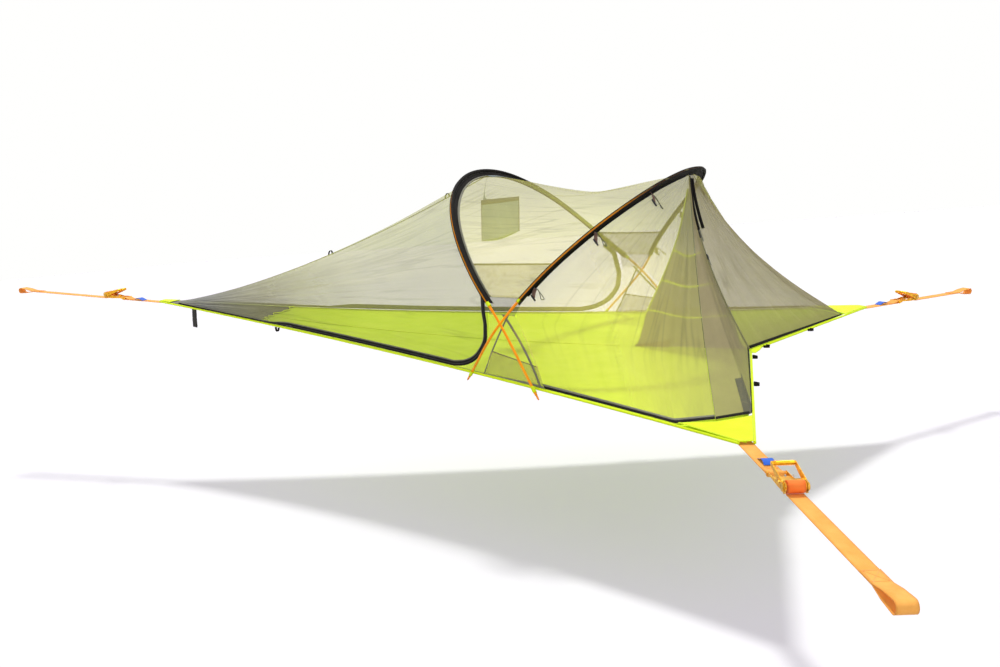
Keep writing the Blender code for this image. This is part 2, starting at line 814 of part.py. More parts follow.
def build_side_walls(builder, tip_arch, wide_arch):
    """The wall on each side from the kick panel to the ridge of the wide end, and the end wall."""
    shift = Vector((CLOTH + GAP * 2, 0, 0))
    foot = wall_point(tip_arch, KICK_FOOT_X, 0.0) + shift
    apex = wall_point(tip_arch, WALL_APEX_X, WALL_APEX_HEIGHT) + shift
    top_place = ARCH_STATIONS - WIDE_HEAD_STATIONS
    seam = seam_line(wide_arch, -SEAM_SHIFT, 25, wide_arch.first + SIDE_SEAM_START, top_place)
    start = resampled(resampled([foot, apex], 5) + seam, 25)
    ridge_head = arch_point(
        wide_arch, ARCH_STATIONS - RIDGE_HEAD_STATIONS, SLEEVE_DEPTH - SLEEVE_SETBACK, -SEAM_SHIFT
    )
    end = sagging(ridge_head, RIDGE_FOOT, RIDGE_SAG, 25, RIDGE_BEND_SHARE)
    end.reverse()
    cut = hem_point(hem_share(CORNER_CUT_X), SILL_INSET, SILL_RISE)
    bottom = sill_line(foot.x, CORNER_CUT_X, 13) + [lerp(cut, RIDGE_FOOT, 0.5), RIDGE_FOOT]
    bottom = resampled(bottom, 25)
    bottom[0] = start[0]
    surface = loft(start, end, bottom, resampled([start[-1], end[-1]], 5))
    both_sides(builder, "side_wall", surface, 10, 12, "mesh")

    gap = Vector((CLOTH + GAP * 2, 0, 0))
    ridge = [p + gap for p in end]
    zip_edge = [p + Vector((0, -ZIP_WIDTH / 2 - CLOTH_REACH, 0)) for p in zip_line(wide_arch, 25)]
    inset = HEM_RADIUS + CLOTH_REACH
    sill = end_hem_line(inset, SILL_RISE)[:3]
    bottom = resampled([ridge[0], sill[0].lerp(sill[1], CORNER_CUT_SHARE), sill[1], zip_edge[0]], 25)
    surface = loft(ridge, zip_edge, bottom, resampled([ridge[-1], zip_edge[-1]], 5))
    both_sides(builder, "end_wall", surface, 7, 10, "mesh")


def zip_line(wide_arch, count):
    """The end wall's middle line, from the pulled-in hem up to the head of the wide arch."""
    head = arch_point(wide_arch, ARCH_STATIONS, SLEEVE_DEPTH, 0.0)
    foot = MIDDLE + Vector((-HEM_RADIUS - CLOTH_REACH, 0, SILL_RISE))
    low = foot.z
    high = head.z - SEAM_GAP - ZIP_THICKNESS
    points = []
    for i in range(count):
        z = lerp(low, high, i / (count - 1))
        share = (1 - (z - low) / (high - low)) ** ZIP_BEND_POWER
        points.append(Vector((lerp(head.x, foot.x, share), 0, z)))
    return points


def build_end_zip(builder, wide_arch):
    """The zip down the middle of the end wall, and its slider."""
    line = resampled(zip_line(wide_arch, 41), 41)

    def surface(u, v):
        """The tape, u along it and v across it."""
        return at(line, u) + Vector((0, lerp(-ZIP_WIDTH, ZIP_WIDTH, v) / 2, 0))

    builder.sheet("end_zip", surface, END_ZIP_STEPS, 1, ZIP_THICKNESS, "zip")
    return line


def build_roof(builder, tip_arch, wide_arch):
    """The roof's saddle over both arches, from one crossing to the other."""
    count = 33
    start = seam_line(
        tip_arch, -SEAM_SHIFT - GAP / 2, count, tip_arch.first + ROOF_START, tip_arch.last - ROOF_START
    )
    end = seam_line(
        wide_arch, SEAM_SHIFT + GAP / 2, count, wide_arch.first + ROOF_START, wide_arch.last - ROOF_START
    )
    widest = (start[count // 2] - end[count // 2]).length

    def surface(u, v):
        """u from the tip arch to the wide arch, v from the near crossing to the far one."""
        a = at(start, v)
        b = at(end, v)
        point = lerp(a, b, u)
        hub = Vector((0, 0, HUB_HEIGHT))
        sag = ROOF_SAG * ((a - b).length / widest) ** 2
        return point + (hub - point).normalized() * sag * 4 * u * (1 - u)

    builder.sheet("roof", surface, 8, 22, CLOTH, "mesh")


def build_floor(builder):
    """The floor's single cloth, between the three hems and cut square at the corners."""
    near = [hem_point(i / 40, FLOOR_INSET, 0.0) for i in range(41)]
    end_line = end_hem_line(FLOOR_INSET, 0.0)
    tip_inset = Vector((FLOOR_INSET, 0, 0))
    start = [NEAR_HEM_START + tip_inset, mirrored(NEAR_HEM_START) + tip_inset]
    start[0] = near[0] + tip_inset
    start[1] = mirrored(start[0])
    near[0] = start[0]
    corner = near[-1].lerp(end_line[0], 0.5)
    near[-1] = corner
    near = resampled(near, 41)
    far = [mirrored(p) for p in near]
    end_points = [corner] + end_line[1:-1] + [mirrored(corner)]
    end_points = resampled(end_points[:3], 9)[:-1] + resampled(end_points[2:], 9)
    start = resampled(start, 17)

    def surface(u, v):
        """u from the tip to the short edge, v from the near hem to the far hem."""
        ruled = lerp(at(near, u), at(far, u), v)
        sides = at(start, v) * (1 - u) + at(end_points, v) * u
        corners = lerp(near[0], far[0], v) * (1 - u) + lerp(near[-1], far[-1], v) * u
        point = ruled + sides - corners
        point.z -= FLOOR_SAG * (16 * u * (1 - u) * v * (1 - v)) ** FLOOR_SAG_POWER
        return point

    return builder.sheet("floor", surface, 20, 10, CLOTH, "floor")


def build_hems(builder):
    """The corded hems of the three edges."""
    near = [hem_point(i / HEM_STATIONS) for i in range(HEM_STATIONS + 1)]
    builder.tube("near_hem", near, HEM_RADIUS, "hem")
    builder.tube("far_hem", [mirrored(p) for p in near], HEM_RADIUS, "hem")
    builder.tube("end_hem", end_hem_line(), HEM_RADIUS, "hem")


def flat_mesh(outline, low, high):
    """A mesh of one flat outline in X and Y, from low to high on Z."""
    bm = bmesh.new()
    bottom = [bm.verts.new((point.x, point.y, low)) for point in outline]
    top = [bm.verts.new((point.x, point.y, high)) for point in outline]
    bm.faces.new(bottom)
    bm.faces.new(top)
    for i, vert in enumerate(bottom):
        after = (i + 1) % len(bottom)
        bm.faces.new((vert, bottom[after], top[after], top[i]))
    return mesh_of(bm)


def build_patches(builder):
    """The cloth that covers each corner and the pulled-in middle of the short edge."""
    low = HEM_RADIUS + GAP
    high = low + CLOTH
    inner = hem_point(hem_share(TOE_SETBACK - PATCH_SETBACK - TIP_REACH))
    outline = [mirrored(NEAR_HEM_START), NEAR_HEM_START, inner, mirrored(inner)]
    builder.add("tip_patch", flat_mesh(outline, low, high), "hem")
    along_near = hem_point(hem_share(CORNER_CUT_X + PATCH_SETBACK))
    outwards = Vector((math.cos(STRAP_ANGLE), -math.sin(STRAP_ANGLE), 0))
    middle = RIDGE_FOOT + outwards * PATCH_SETBACK * 2
    along_end = lerp(END_HEM_START, MIDDLE, CORNER_CUT_SHARE / 2 - PATCH_SETBACK)
    outline = [NEAR_HEM_END, END_HEM_START, along_end, middle, along_near]
    builder.add("near_corner_patch", flat_mesh(outline, low, high), "hem")
    outline = [mirrored(p) for p in outline]
    builder.add("far_corner_patch", flat_mesh(outline, low, high), "hem")
    side = lerp(MIDDLE, END_HEM_START, MIDDLE_PATCH_SHARE)
    outside = Vector((MIDDLE_PATCH_WIDTH, 0, 0))
    outline = [MIDDLE, side, side + outside, MIDDLE + outside * 2, mirrored(side) + outside]
    outline.append(mirrored(side))
    builder.add("short_edge_patch", flat_mesh(outline, low, high), "hem")


# Zips, sliders and the things that hang


def surface_of(obj):
    """A search tree over an object's finished faces."""
    bpy.context.view_layer.update()
    return BVHTree.FromObject(obj, bpy.context.evaluated_depsgraph_get())


def outward_face(tree, point, away):
    """The place on an object nearest to a point, with the way out of it on the side of away."""
    place, normal, _, _ = tree.find_nearest(point)
    return place, normal if normal.dot(away) > 0 else -normal


def outside_of(tree, point, away, height):
    """The place at a height over the face nearest to a point, on the side that faces away."""
    _, normal = outward_face(tree, point, away)
    place, normal = outward_face(tree, point + normal * CLOTH * 2, normal)
    return place + normal * height


def door_path(surface):
    """The door zip's line: points on the door's edge and the way in over the door from each."""
    path = []
    for i in range(DOOR_ZIP_STEPS + 1):
        u = lerp(DOOR_ZIP_START, 1.0, i / DOOR_ZIP_STEPS)
        path.append(surface(u, 0.0))
    for i in range(1, DOOR_ZIP_RISE_STEPS + 1):
        path.append(surface(1.0, DOOR_ZIP_TOP * i / DOOR_ZIP_RISE_STEPS))
    return along(path, DOOR_ZIP_COLUMNS + 1)


def build_door_zips(builder, surface, door):
    """The zip along each door's edge, sewn on its outer face; return the near one's line."""
    tree = surface_of(door)
    line = door_path(surface)
    height = ZIP_THICKNESS / 2 + ZIP_LIFT
    away = Vector((0, -1, 1)).normalized()
    middle = surface(*DOOR_HEART_SHARES)
    inward = []
    for i, point in enumerate(line):
        tangent = (line[min(i + 1, len(line) - 1)] - line[max(i - 1, 0)]).normalized()
        towards = middle - point
        towards = (towards - tangent * towards.dot(tangent)).normalized()
        place, _ = outward_face(tree, point + towards * ZIP_WIDTH, away)
        towards = place - point
        inward.append((towards - tangent * towards.dot(tangent)).normalized())

    def tape(u, v):
        """The tape, u along it and v across it."""
        index = round(u * DOOR_ZIP_COLUMNS)
        point = line[index] + inward[index] * (ZIP_EDGE + ZIP_WIDTH * v)
        rise = max(1.0 - abs(point.z - WALL_APEX_HEIGHT) / ZIP_CORNER_REACH, 0.0)
        return outside_of(tree, point, away, height + ZIP_CORNER_LIFT * rise)

    builder.sheet("near_door_zip", tape, DOOR_ZIP_COLUMNS, 2, ZIP_THICKNESS, "zip")
    builder.sheet(
        "far_door_zip",
        lambda u, v: mirrored(tape(u, v)),
        DOOR_ZIP_COLUMNS,
        2,
        ZIP_THICKNESS,
        "zip",
    )
    return tape


def slider_frame(place, run, away):
    """Matrix of a slider: X along the zip, Z away from the tape."""
    run = run.normalized()
    away = (away - run * away.dot(run)).normalized()
    across = away.cross(run)
    return Matrix.Translation(place) @ Matrix((run, across, away)).transposed().to_4x4()


def build_slider(builder, name, matrix):
    """A zip slider with its pull lying flat behind it."""
    half = SLIDER_LENGTH / 2
    body = box_mesh((-half, -SLIDER_WIDTH / 2, 0), (half, SLIDER_WIDTH / 2, SLIDER_HEIGHT))
    low = SLIDER_HEIGHT - PULL_THICKNESS * PULL_LOW_SHARE
    high = SLIDER_HEIGHT - PULL_THICKNESS / 2
    pull = box_mesh((0, -PULL_WIDTH / 2, low), (half + PULL_LENGTH, PULL_WIDTH / 2, high))
    builder.joined(name, [body, pull], "slider", matrix)


def build_sliders(builder, tape, end_line):
    """One slider on each door zip and one on the end zip."""
    low = tape(SLIDER_PLACE - SLIDER_SPAN, 0.5)
    high = tape(SLIDER_PLACE + SLIDER_SPAN, 0.5)
    side = tape(SLIDER_PLACE, 1.0) - tape(SLIDER_PLACE, 0.0)
    run = low - high
    away = run.cross(side)
    if away.y > 0:
        away = -away
    away.normalize()
    place = lerp(low, high, 0.5) + away * (ZIP_THICKNESS / 2 + SLIDER_LIFT)
    near = slider_frame(place, run, away)
    build_slider(builder, "near_door_zip_slider", near)
    flip = Vector((away.x, -away.y, away.z))
    far = slider_frame(mirrored(place), mirrored(run), flip)
    build_slider(builder, "far_door_zip_slider", far)
    low = at(end_line, END_SLIDER_PLACE - END_SLIDER_SPAN)
    high = at(end_line, END_SLIDER_PLACE + END_SLIDER_SPAN)
    run = low - high
    away = Vector((-run.z, 0, run.x))
    if away.x < 0:
        away = -away
    away.normalize()
    place = lerp(low, high, 0.5) + away * (ZIP_THICKNESS / 2 + SLIDER_LIFT)
    build_slider(builder, "end_zip_slider", slider_frame(place, run, away))


def build_divider(builder, end_line, floor, wide_arch):
    """The upright mesh panel inside, from the end wall's zip to the floor's middle."""
    tree = surface_of(floor)
    head = arch_point(wide_arch, ARCH_STATIONS, SLEEVE_DEPTH, 0.0)
    back = Vector((-1, 0, -DIVIDER_LEAN_SHARE)).normalized() * (ZIP_THICKNESS / 2 + GAP * 3)
    right = [p + back for p in end_line if p.z < head.z - DIVIDER_HEAD_DROP and p.z > DIVIDER_FOOT_RISE]
    top = right[-1] + Vector((-DIVIDER_HEAD_WIDTH, 0, 0))
    bend = Vector((top.x - DIVIDER_BEND_X, 0, top.z - DIVIDER_BEND_Z))
    left = [Vector((DIVIDER_FOOT_X, 0, DIVIDER_FOOT_RISE)), bend, top]
    left = along(left, 17)
    right = resampled(right, 17)

    def surface(u, v):
        """u from the free edge to the end wall, v from the floor up."""
        point = lerp(at(left, v), at(right, v), u)
        place = tree.ray_cast(Vector((point.x, 0.0, 1.0)), Vector((0, 0, -1)))[0]
        ground = place.z + GAP * 2
        point.z = lerp(ground, point.z, min(v * 6, 1.0))
        return point

    builder.sheet("divider", surface, 6, 10, CLOTH, "dark_mesh")


def build_pocket(builder, tip_arch):
    """The cloth pocket that hangs under the roof behind the tip arch."""
    head = arch_point(tip_arch, ARCH_STATIONS, SLEEVE_DEPTH, 0.0)
    hook = arch_point(tip_arch, ARCH_STATIONS, SLEEVE_DEPTH + SEAM_GAP, 0.0)
    rear = head + Vector((POCKET_BACK, 0, -POCKET_DROP))

    def surface(u, v):
        """u across the pocket and v down its front, under it and up its back."""
        turn = min(max((v - POCKET_FRONT_SHARE) / POCKET_FLOOR_SHARE, 0.0), 1.0) * math.pi
        depth = POCKET_BULGE * math.sin(math.pi * u) + CLOTH * POCKET_DEPTH_SHARE
        drop = min(v, 1.0 - v) / POCKET_FRONT_SHARE
        rise = 1.0 - min(drop, 1.0)
        under = math.sin(turn) * depth / 2
        x = rear.x + POCKET_WIDTH * u
        slope = POCKET_SLOPE * u
        y = -math.cos(turn) * depth / 2
        z = rear.z + slope - POCKET_HEIGHT * (1 - rise) - under
        hang = max((v - POCKET_HANG_START) / (1 - POCKET_HANG_START), 0.0)
        hang *= (1 - u) ** POCKET_HANG_POWER
        return Vector((lerp(x, hook.x, hang), y, lerp(z, hook.z, hang)))

    builder.sheet("loft_pocket", surface, 6, 24, CLOTH / 2, "dark_mesh")


def build_tie_out(builder):
    """The loop of webbing that hangs from the near hem by the tip corner."""
    share = hem_share(TIE_OUT_DISTANCE - TIP_REACH)
    point = hem_point(share)
    run = (hem_point(share + TIE_OUT_STEP_SHARE) - hem_point(share - TIE_OUT_STEP_SHARE)).normalized()
    top = HEM_RADIUS + GAP
    outline = [(-TIE_OUT_WIDTH / 2, -top), (TIE_OUT_WIDTH / 2, -top)]
    outline += [(TIE_OUT_WIDTH / 2, -top - TIE_OUT_LENGTH), (-TIE_OUT_WIDTH / 2, -top - TIE_OUT_LENGTH)]
    data = builder.plate([outline], -CLOTH / 2, CLOTH / 2)
    across = Vector((0, 0, 1)).cross(run).normalized()
    turn = Matrix((run, across, run.cross(across))).transposed().to_4x4()
    builder.add("tie_out_strap", data, "tie_webbing", Matrix.Translation(point) @ turn)


# Straps and ratchets


def strap(builder, name, path, matrix):
    """Webbing that follows a path of points in X and Z, as wide as the strap on Y."""
    count = len(path) - 1

    def surface(u, v):
        """The point u along the path and v across the webbing."""
        x, z = path[round(u * count)]
        return Vector((x, lerp(-STRAP_WIDTH, STRAP_WIDTH, v) / 2, z))

    obj = builder.sheet(name, surface, count, 1, STRAP_THICKNESS, "webbing", matrix)
    obj.modifiers["Thickness"].use_even_offset = True


STRAP_LEVEL = -(HEM_RADIUS + GAP + STRAP_THICKNESS / 2)
SPOOL_LEVEL = STRAP_LEVEL + STRAP_THICKNESS / 2 + GAP + ROLL_RADIUS
LAYER = STRAP_THICKNESS + GAP


def build_corner_strap(builder, corner, matrix):
    """The strap sewn under the corner, looped round the ratchet's bolt and sewn to itself."""
    bolt_x = SPOOL_DISTANCE - FRAME_LENGTH
    radius = BOLT_RADIUS + GAP + STRAP_THICKNESS / 2
    level = SPOOL_LEVEL - BOLT_DROP
    path = [(-STRAP_TUCK, STRAP_LEVEL), (STRAP_TUCK, STRAP_LEVEL)]
    path.append((bolt_x - LOOP_RETURN, STRAP_LEVEL))
    path += arc(radius, -math.pi / 2, math.pi / 2, 7, bolt_x, level)
    path.append((bolt_x - LOOP_BEND, STRAP_LEVEL + LAYER * LOOP_STEP_SHARE))
    path.append((bolt_x - LOOP_BEND * LOOP_STEP_SHARE, STRAP_LEVEL + LAYER))
    path.append((bolt_x - LOOP_RETURN, STRAP_LEVEL + LAYER))
    strap(builder, corner.name + "_corner_strap", path, matrix)


def build_tree_strap(builder, corner, matrix):
    """The strap that runs from under the roll towards the tree and ends in a sewn eye."""
    end = corner.length
    start = SPOOL_DISTANCE
    half = EYE_HEIGHT / 2
    path = [(start, STRAP_LEVEL), (lerp(start, end, 0.5), STRAP_LEVEL)]
    path.append((end - EYE_LENGTH, STRAP_LEVEL))
    mouth = end - EYE_LENGTH * EYE_MOUTH_SHARE
    path.append((mouth, STRAP_LEVEL - half * EYE_MOUTH_HEIGHT_SHARE))
    path += arc(half, -math.pi / 2, math.pi / 2, 7, end - half, STRAP_LEVEL)
    path.append((mouth, STRAP_LEVEL + half * EYE_MOUTH_HEIGHT_SHARE))
    path.append((end - EYE_LENGTH, STRAP_LEVEL + LAYER))
    path.append((end - EYE_LENGTH - SEAM_LENGTH, STRAP_LEVEL + LAYER))
    strap(builder, corner.name + "_tree_strap", path, matrix)


def build_roll(builder, corner, matrix):
    """The strap's turns on the spool."""
    start = SHAFT_RADIUS + GAP * 2 + STRAP_THICKNESS / 2
    count = ROLL_TURNS * ROLL_SIDES
    path = []
    for i in range(count + 1):
        angle = -math.pi / 2 + 2 * math.pi * (i - count) / ROLL_SIDES
        radius = start + LAYER * i / ROLL_SIDES * ROLL_PITCH_SHARE
        path.append((radius * math.cos(angle), radius * math.sin(angle)))
    strap(builder, corner.name + "_strap_roll", path, matrix)


SIDE = STRAP_WIDTH / 2 + SIDE_CLEARANCE
WHEEL_IN = SIDE + PLATE + RUNNING_GAP
WHEEL_OUT = WHEEL_IN + WHEEL_THICKNESS
ARM_IN = WHEEL_OUT + RUNNING_GAP
ARM_OUT = ARM_IN + PLATE
HEAD_IN = ARM_OUT + RUNNING_GAP
HEAD_OUT = HEAD_IN + HEAD_THICKNESS


def window(angle):
    """The outline of a pawl's slot, along the radius at an angle."""
    half = PAWL_THICKNESS / 2 + RUNNING_GAP
    turn = Matrix.Rotation(angle, 2)
    corners = [(WINDOW_INNER, -half), (WINDOW_OUTER, -half), (WINDOW_OUTER, half), (WINDOW_INNER, half)]
    return [tuple(turn @ Vector(c)) for c in corners]


def build_frame(builder, corner, matrix):
    """The ratchet's frame: two side plates, the base between them and the bolt."""
    outline = arc(HUB_PLATE_RADIUS, -math.pi / 2, math.pi * HUB_TURN_SHARE, 9)
    outline += [(-FRAME_STEP_START, -FRAME_TOP), (-FRAME_STEP_END, -FRAME_LOW_TOP)]
    outline += arc(BOLT_DISC_RADIUS, math.pi / 3, math.pi * 3 / 2, 7, -FRAME_LENGTH, -BOLT_DROP)
    outline += [(-FRAME_TOE, -FRAME_NECK), (-FRAME_HEEL, -FRAME_BOTTOM)]
    outline += [(-HUB_PLATE_RADIUS, -FRAME_BOTTOM)]
    holes = [circle(SHAFT_RADIUS + GAP), window(math.pi + PAWL_ANGLE)]
    pieces = [builder.plate([outline] + holes, SIDE, SIDE + PLATE)]
    pieces.append(builder.plate([outline] + holes, -SIDE - PLATE, -SIDE))
    wide = SIDE + PLATE / 2
    low = (-FRAME_TOE, -wide, -FRAME_NECK + GAP)
    high = (-FRAME_STEP_START, wide, -FRAME_NECK + GAP + PLATE)
    pieces.append(box_mesh(low, high))
    out = SIDE + PLATE + HEAD_THICKNESS
    pieces.append(cylinder_mesh(BOLT_RADIUS, -out, out, -FRAME_LENGTH, -BOLT_DROP))
    builder.joined(corner.name + "_ratchet_frame", pieces, "steel", matrix)


def build_spool(builder, corner, matrix):
    """The spool: its shaft, a toothed wheel at each side and the heads outside the handle."""
    teeth = []
    for i in range(WHEEL_TEETH):
        angle = 2 * math.pi * i / WHEEL_TEETH
        step = 2 * math.pi / WHEEL_TEETH
        for radius, turn in zip((WHEEL_ROOT, WHEEL_RADIUS, WHEEL_RADIUS), (0.0,) + TOOTH_SHARES):
            place = angle + step * turn
            teeth.append((radius * math.cos(place), radius * math.sin(place)))
    pieces = [cylinder_mesh(SHAFT_RADIUS, -HEAD_OUT + GAP, HEAD_OUT - GAP)]
    pieces.append(builder.plate([teeth], WHEEL_IN, WHEEL_OUT))
    pieces.append(builder.plate([teeth], -WHEEL_OUT, -WHEEL_IN))
    pieces.append(cylinder_mesh(HEAD_RADIUS, HEAD_IN, HEAD_OUT))
    pieces.append(cylinder_mesh(HEAD_RADIUS, -HEAD_OUT, -HEAD_IN))
    builder.joined(corner.name + "_ratchet_spool", pieces, "steel", matrix)


def build_handle(builder, corner, matrix):
    """The ratchet's handle: two arms, built along -X, with the grip bar across their ends."""
    outline = arc(HUB_PLATE_RADIUS, -math.pi / 2, math.pi / 2, 9)
    outline += [(-HANDLE_SHOULDER, ARM_HALF_HEIGHT), (-HANDLE_LENGTH, ARM_HALF_HEIGHT * HANDLE_TAPER)]
    outline += [(-HANDLE_LENGTH, -ARM_HALF_HEIGHT * HANDLE_TAPER), (-HANDLE_SHOULDER, -ARM_HALF_HEIGHT)]
    holes = [circle(SHAFT_RADIUS + GAP), window(math.pi)]
    pieces = [builder.plate([outline] + holes, ARM_IN, ARM_OUT)]
    pieces.append(builder.plate([outline] + holes, -ARM_OUT, -ARM_IN))
    out = ARM_OUT - PLATE / 4
    pieces.append(cylinder_mesh(GRIP_RADIUS, -out, out, -HANDLE_LENGTH, 0.0))
    builder.joined(corner.name + "_ratchet_handle", pieces, "steel", matrix)


def build_pawl(builder, name, half_width, matrix):
    """A sliding pawl, built along -X, with a nose over each toothed wheel."""
    half = PAWL_THICKNESS / 2
    back = PAWL_INNER + PAWL_LENGTH
    pieces = [box_mesh((-back, -half_width, -half), (-PAWL_INNER, half_width, half))]
    for side in (-1, 1):
        edges = sorted((side * (WHEEL_IN + RUNNING_GAP / 2), side * (WHEEL_OUT - RUNNING_GAP / 2)))
        low = (-PAWL_INNER - half, edges[0], -half)
        high = (-NOSE_RADIUS, edges[1], half)
        pieces.append(box_mesh(low, high))
    builder.joined(name, pieces, "steel", matrix)


def build_corner(builder, corner):
    """The strap and ratchet of one corner."""
    place = Matrix.Translation(corner.point) @ Matrix.Rotation(corner.angle, 4, "Z")
    spool = place @ Matrix.Translation((SPOOL_DISTANCE, 0, SPOOL_LEVEL))
    handle = spool @ Matrix.Rotation(HANDLE_REST, 4, "Y")
    lock = spool @ Matrix.Rotation(-PAWL_ANGLE, 4, "Y")
    build_corner_strap(builder, corner, place)
    build_tree_strap(builder, corner, place)
    build_roll(builder, corner, spool)
    build_frame(builder, corner, spool)
    build_spool(builder, corner, spool)
    build_handle(builder, corner, handle)
    build_pawl(builder, corner.name + "_handle_pawl", HEAD_OUT, handle)
    build_pawl(builder, corner.name + "_lock_pawl", WHEEL_OUT, lock)


def main():
    """Build the whole tent."""
    clear_scene()
    collection = new_collection("Tree tent")
    cutters = new_collection("Cutters")
    builder = Builder(collection, cutters, make_materials())
    tip_arch = make_arch(TIP_POLE_FOOT_X, TIP_ARCH_TOP_X, TIP_ARCH_TOP_Z, TIP_ARCH_SHARES, -1)
    wide_arch = make_arch(WIDE_POLE_FOOT_X, WIDE_ARCH_TOP_X, WIDE_ARCH_TOP_Z, WIDE_ARCH_SHARES, 1)
    build_hems(builder)
    build_arches(builder, tip_arch, wide_arch)
    floor = build_floor(builder)
    door_surface, door = build_doors(builder, tip_arch)
    build_kick_panels(builder, tip_arch)
    build_side_walls(builder, tip_arch, wide_arch)
    build_roof(builder, tip_arch, wide_arch)
    build_patches(builder)
    end_line = build_end_zip(builder, wide_arch)
    tape = build_door_zips(builder, door_surface, door)
    build_sliders(builder, tape, end_line)
    build_divider(builder, end_line, floor, wide_arch)
    build_pocket(builder, tip_arch)
    build_tie_out(builder)
    corners = (
        Corner("tip", TIP_CORNER, math.pi, TIP_STRAP_LENGTH),
        Corner("near", NEAR_CORNER, -STRAP_ANGLE, NEAR_STRAP_LENGTH),
        Corner("far", mirrored(NEAR_CORNER), STRAP_ANGLE, FAR_STRAP_LENGTH),
    )
    for corner in corners:
        build_corner(builder, corner)


main()
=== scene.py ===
"""Looks of the tree tent: mesh walls, floor, poles, zips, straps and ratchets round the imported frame."""

import logging
import math
from dataclasses import dataclass
from enum import Enum
from functools import cached_property
from typing import Callable, Optional, Sequence

import bmesh
import bpy
import numpy as np
from mathutils import Matrix, Vector, noise
from mathutils.bvhtree import BVHTree

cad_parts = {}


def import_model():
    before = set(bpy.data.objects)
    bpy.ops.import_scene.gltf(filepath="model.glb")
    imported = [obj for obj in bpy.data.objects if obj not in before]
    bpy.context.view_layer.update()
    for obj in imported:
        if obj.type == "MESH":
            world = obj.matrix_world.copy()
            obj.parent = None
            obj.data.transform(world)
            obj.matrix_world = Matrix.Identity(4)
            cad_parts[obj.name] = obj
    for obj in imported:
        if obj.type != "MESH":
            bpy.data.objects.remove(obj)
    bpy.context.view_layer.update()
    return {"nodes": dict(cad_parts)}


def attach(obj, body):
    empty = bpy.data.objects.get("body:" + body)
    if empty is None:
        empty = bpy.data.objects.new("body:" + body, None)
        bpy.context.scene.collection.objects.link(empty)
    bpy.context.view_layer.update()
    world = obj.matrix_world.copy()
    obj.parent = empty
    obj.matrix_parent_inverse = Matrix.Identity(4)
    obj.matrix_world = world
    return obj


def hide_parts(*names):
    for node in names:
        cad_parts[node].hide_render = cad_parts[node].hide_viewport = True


LOG = logging.getLogger("tree_tent")
Surface = Callable[[float, float], Vector]
Relief = Callable[[float, float], float]
Points = list[Vector]
Socket = bpy.types.NodeSocket
Mesh = bmesh.types.BMesh
TENT = "tent"
HUB = Vector((0.0, 0.0, 0.35))


class Side(Enum):
    """The two long sides of the tent."""

    NEAR = 1
    FAR = -1

    @property
    def word(self) -> str:
        """The side's name as the frame's nodes have it."""
        return self.name.lower()

    def of(self, point: Vector) -> Vector:
        """A near side's point moved to this side."""
        return Vector((point.x, point.y * self.value, point.z))


def lerp(a, b, share: float):
    """The number or point that lies share of the way from a to b."""
    return a + (b - a) * share


def smooth(share: float) -> float:
    """A step from 0 to 1 that starts and ends level."""
    share = min(max(share, 0.0), 1.0)
    return share * share * (3 - 2 * share)


def distances(line: np.ndarray) -> np.ndarray:
    """How far along a line of straight runs each of its points lies."""
    return np.concatenate([[0.0], np.cumsum(np.linalg.norm(np.diff(line, axis=0), axis=1))])


def resampled(points: Sequence[Vector], count: int) -> Points:
    """Points at even distances along a line of straight runs."""
    line = np.array([tuple(p) for p in points])
    place = distances(line)
    wanted = np.linspace(0.0, place[-1], count)
    return [Vector([np.interp(w, place, line[:, axis]) for axis in range(3)]) for w in wanted]


def along(points: Sequence[Vector], count: int) -> Points:
    """Points at even distances along the smooth curve through the given points.

    Args:
        points: what the curve goes through.
        count: how many points to return.

    Returns:
        The evenly spaced points.
    """
    knots = np.array([tuple(p) for p in points])
    place = distances(knots)
    chord = np.diff(place)
    slopes = np.gradient(knots, place, axis=0)
    fine = []
    for i, reach in enumerate(chord):
        for t in np.arange(12) / 12:
            step = (3 * t**2 - 2 * t**3) * (knots[i + 1] - knots[i])
            lean = (t**3 - 2 * t**2 + t) * slopes[i] + (t**3 - t**2) * slopes[i + 1]
            fine.append(knots[i] + step + lean * reach)
    fine.append(knots[-1])
    return resampled(fine, count)


def at(points: Sequence[Vector], share: float) -> Vector:
    """The point that lies share of the way along an evenly spaced line of points."""
    place = min(max(share, 0.0), 1.0) * (len(points) - 1)
    index = min(int(place), len(points) - 2)
    return points[index].lerp(points[index + 1], place - index)


def line_of(shape: Callable[[float], Vector], count: int, start: float = 0.0, end: float = 1.0) -> Points:
    """Points of shape(share) at count even steps from the start share to the end share."""
    return [shape(lerp(start, end, i / count)) for i in range(count + 1)]


def solved(reading: Callable[[float], float], wanted: float, high: float = 1.0, steps: int = 24) -> float:
    """The share from 0 to high at which a rising reading comes to the wanted number, by halving."""
    low = 0.0
    for _ in range(steps):
        middle = (low + high) / 2
        low, high = (middle, high) if reading(middle) < wanted else (low, middle)
    return low


def square_to(run: Vector, way: Vector) -> Vector:
    """The direction nearest to way that is square to run."""
    return (way - run * way.dot(run)).normalized()


def turned_to(way: Vector, out: Vector) -> Vector:
    """The direction of way, turned round where it looks away from out."""
    return (-way if way.dot(out) < 0 else way).normalized()


def runs(points: Points) -> Points:
    """The direction of a line at each of its points."""
    last = len(points) - 1
    return [(points[min(i + 1, last)] - points[max(i - 1, 0)]).normalized() for i in range(last + 1)]


def mirrored(point: Vector) -> Vector:
    """The same place on the tent's other side."""
    return Side.FAR.of(point)


def length_of(points: Sequence[Vector]) -> float:
    """The length of a line of straight runs."""
    return sum((b - a).length for a, b in zip(points, points[1:]))


def arc(radius: float, start: float, end: float, count: int, x: float = 0.0, z: float = 0.0) -> list:
    """Points (x, z) of an arc from the start angle to the end angle."""
    angles = [lerp(start, end, i / (count - 1)) for i in range(count)]
    return [(x + radius * math.cos(a), z + radius * math.sin(a)) for a in angles]


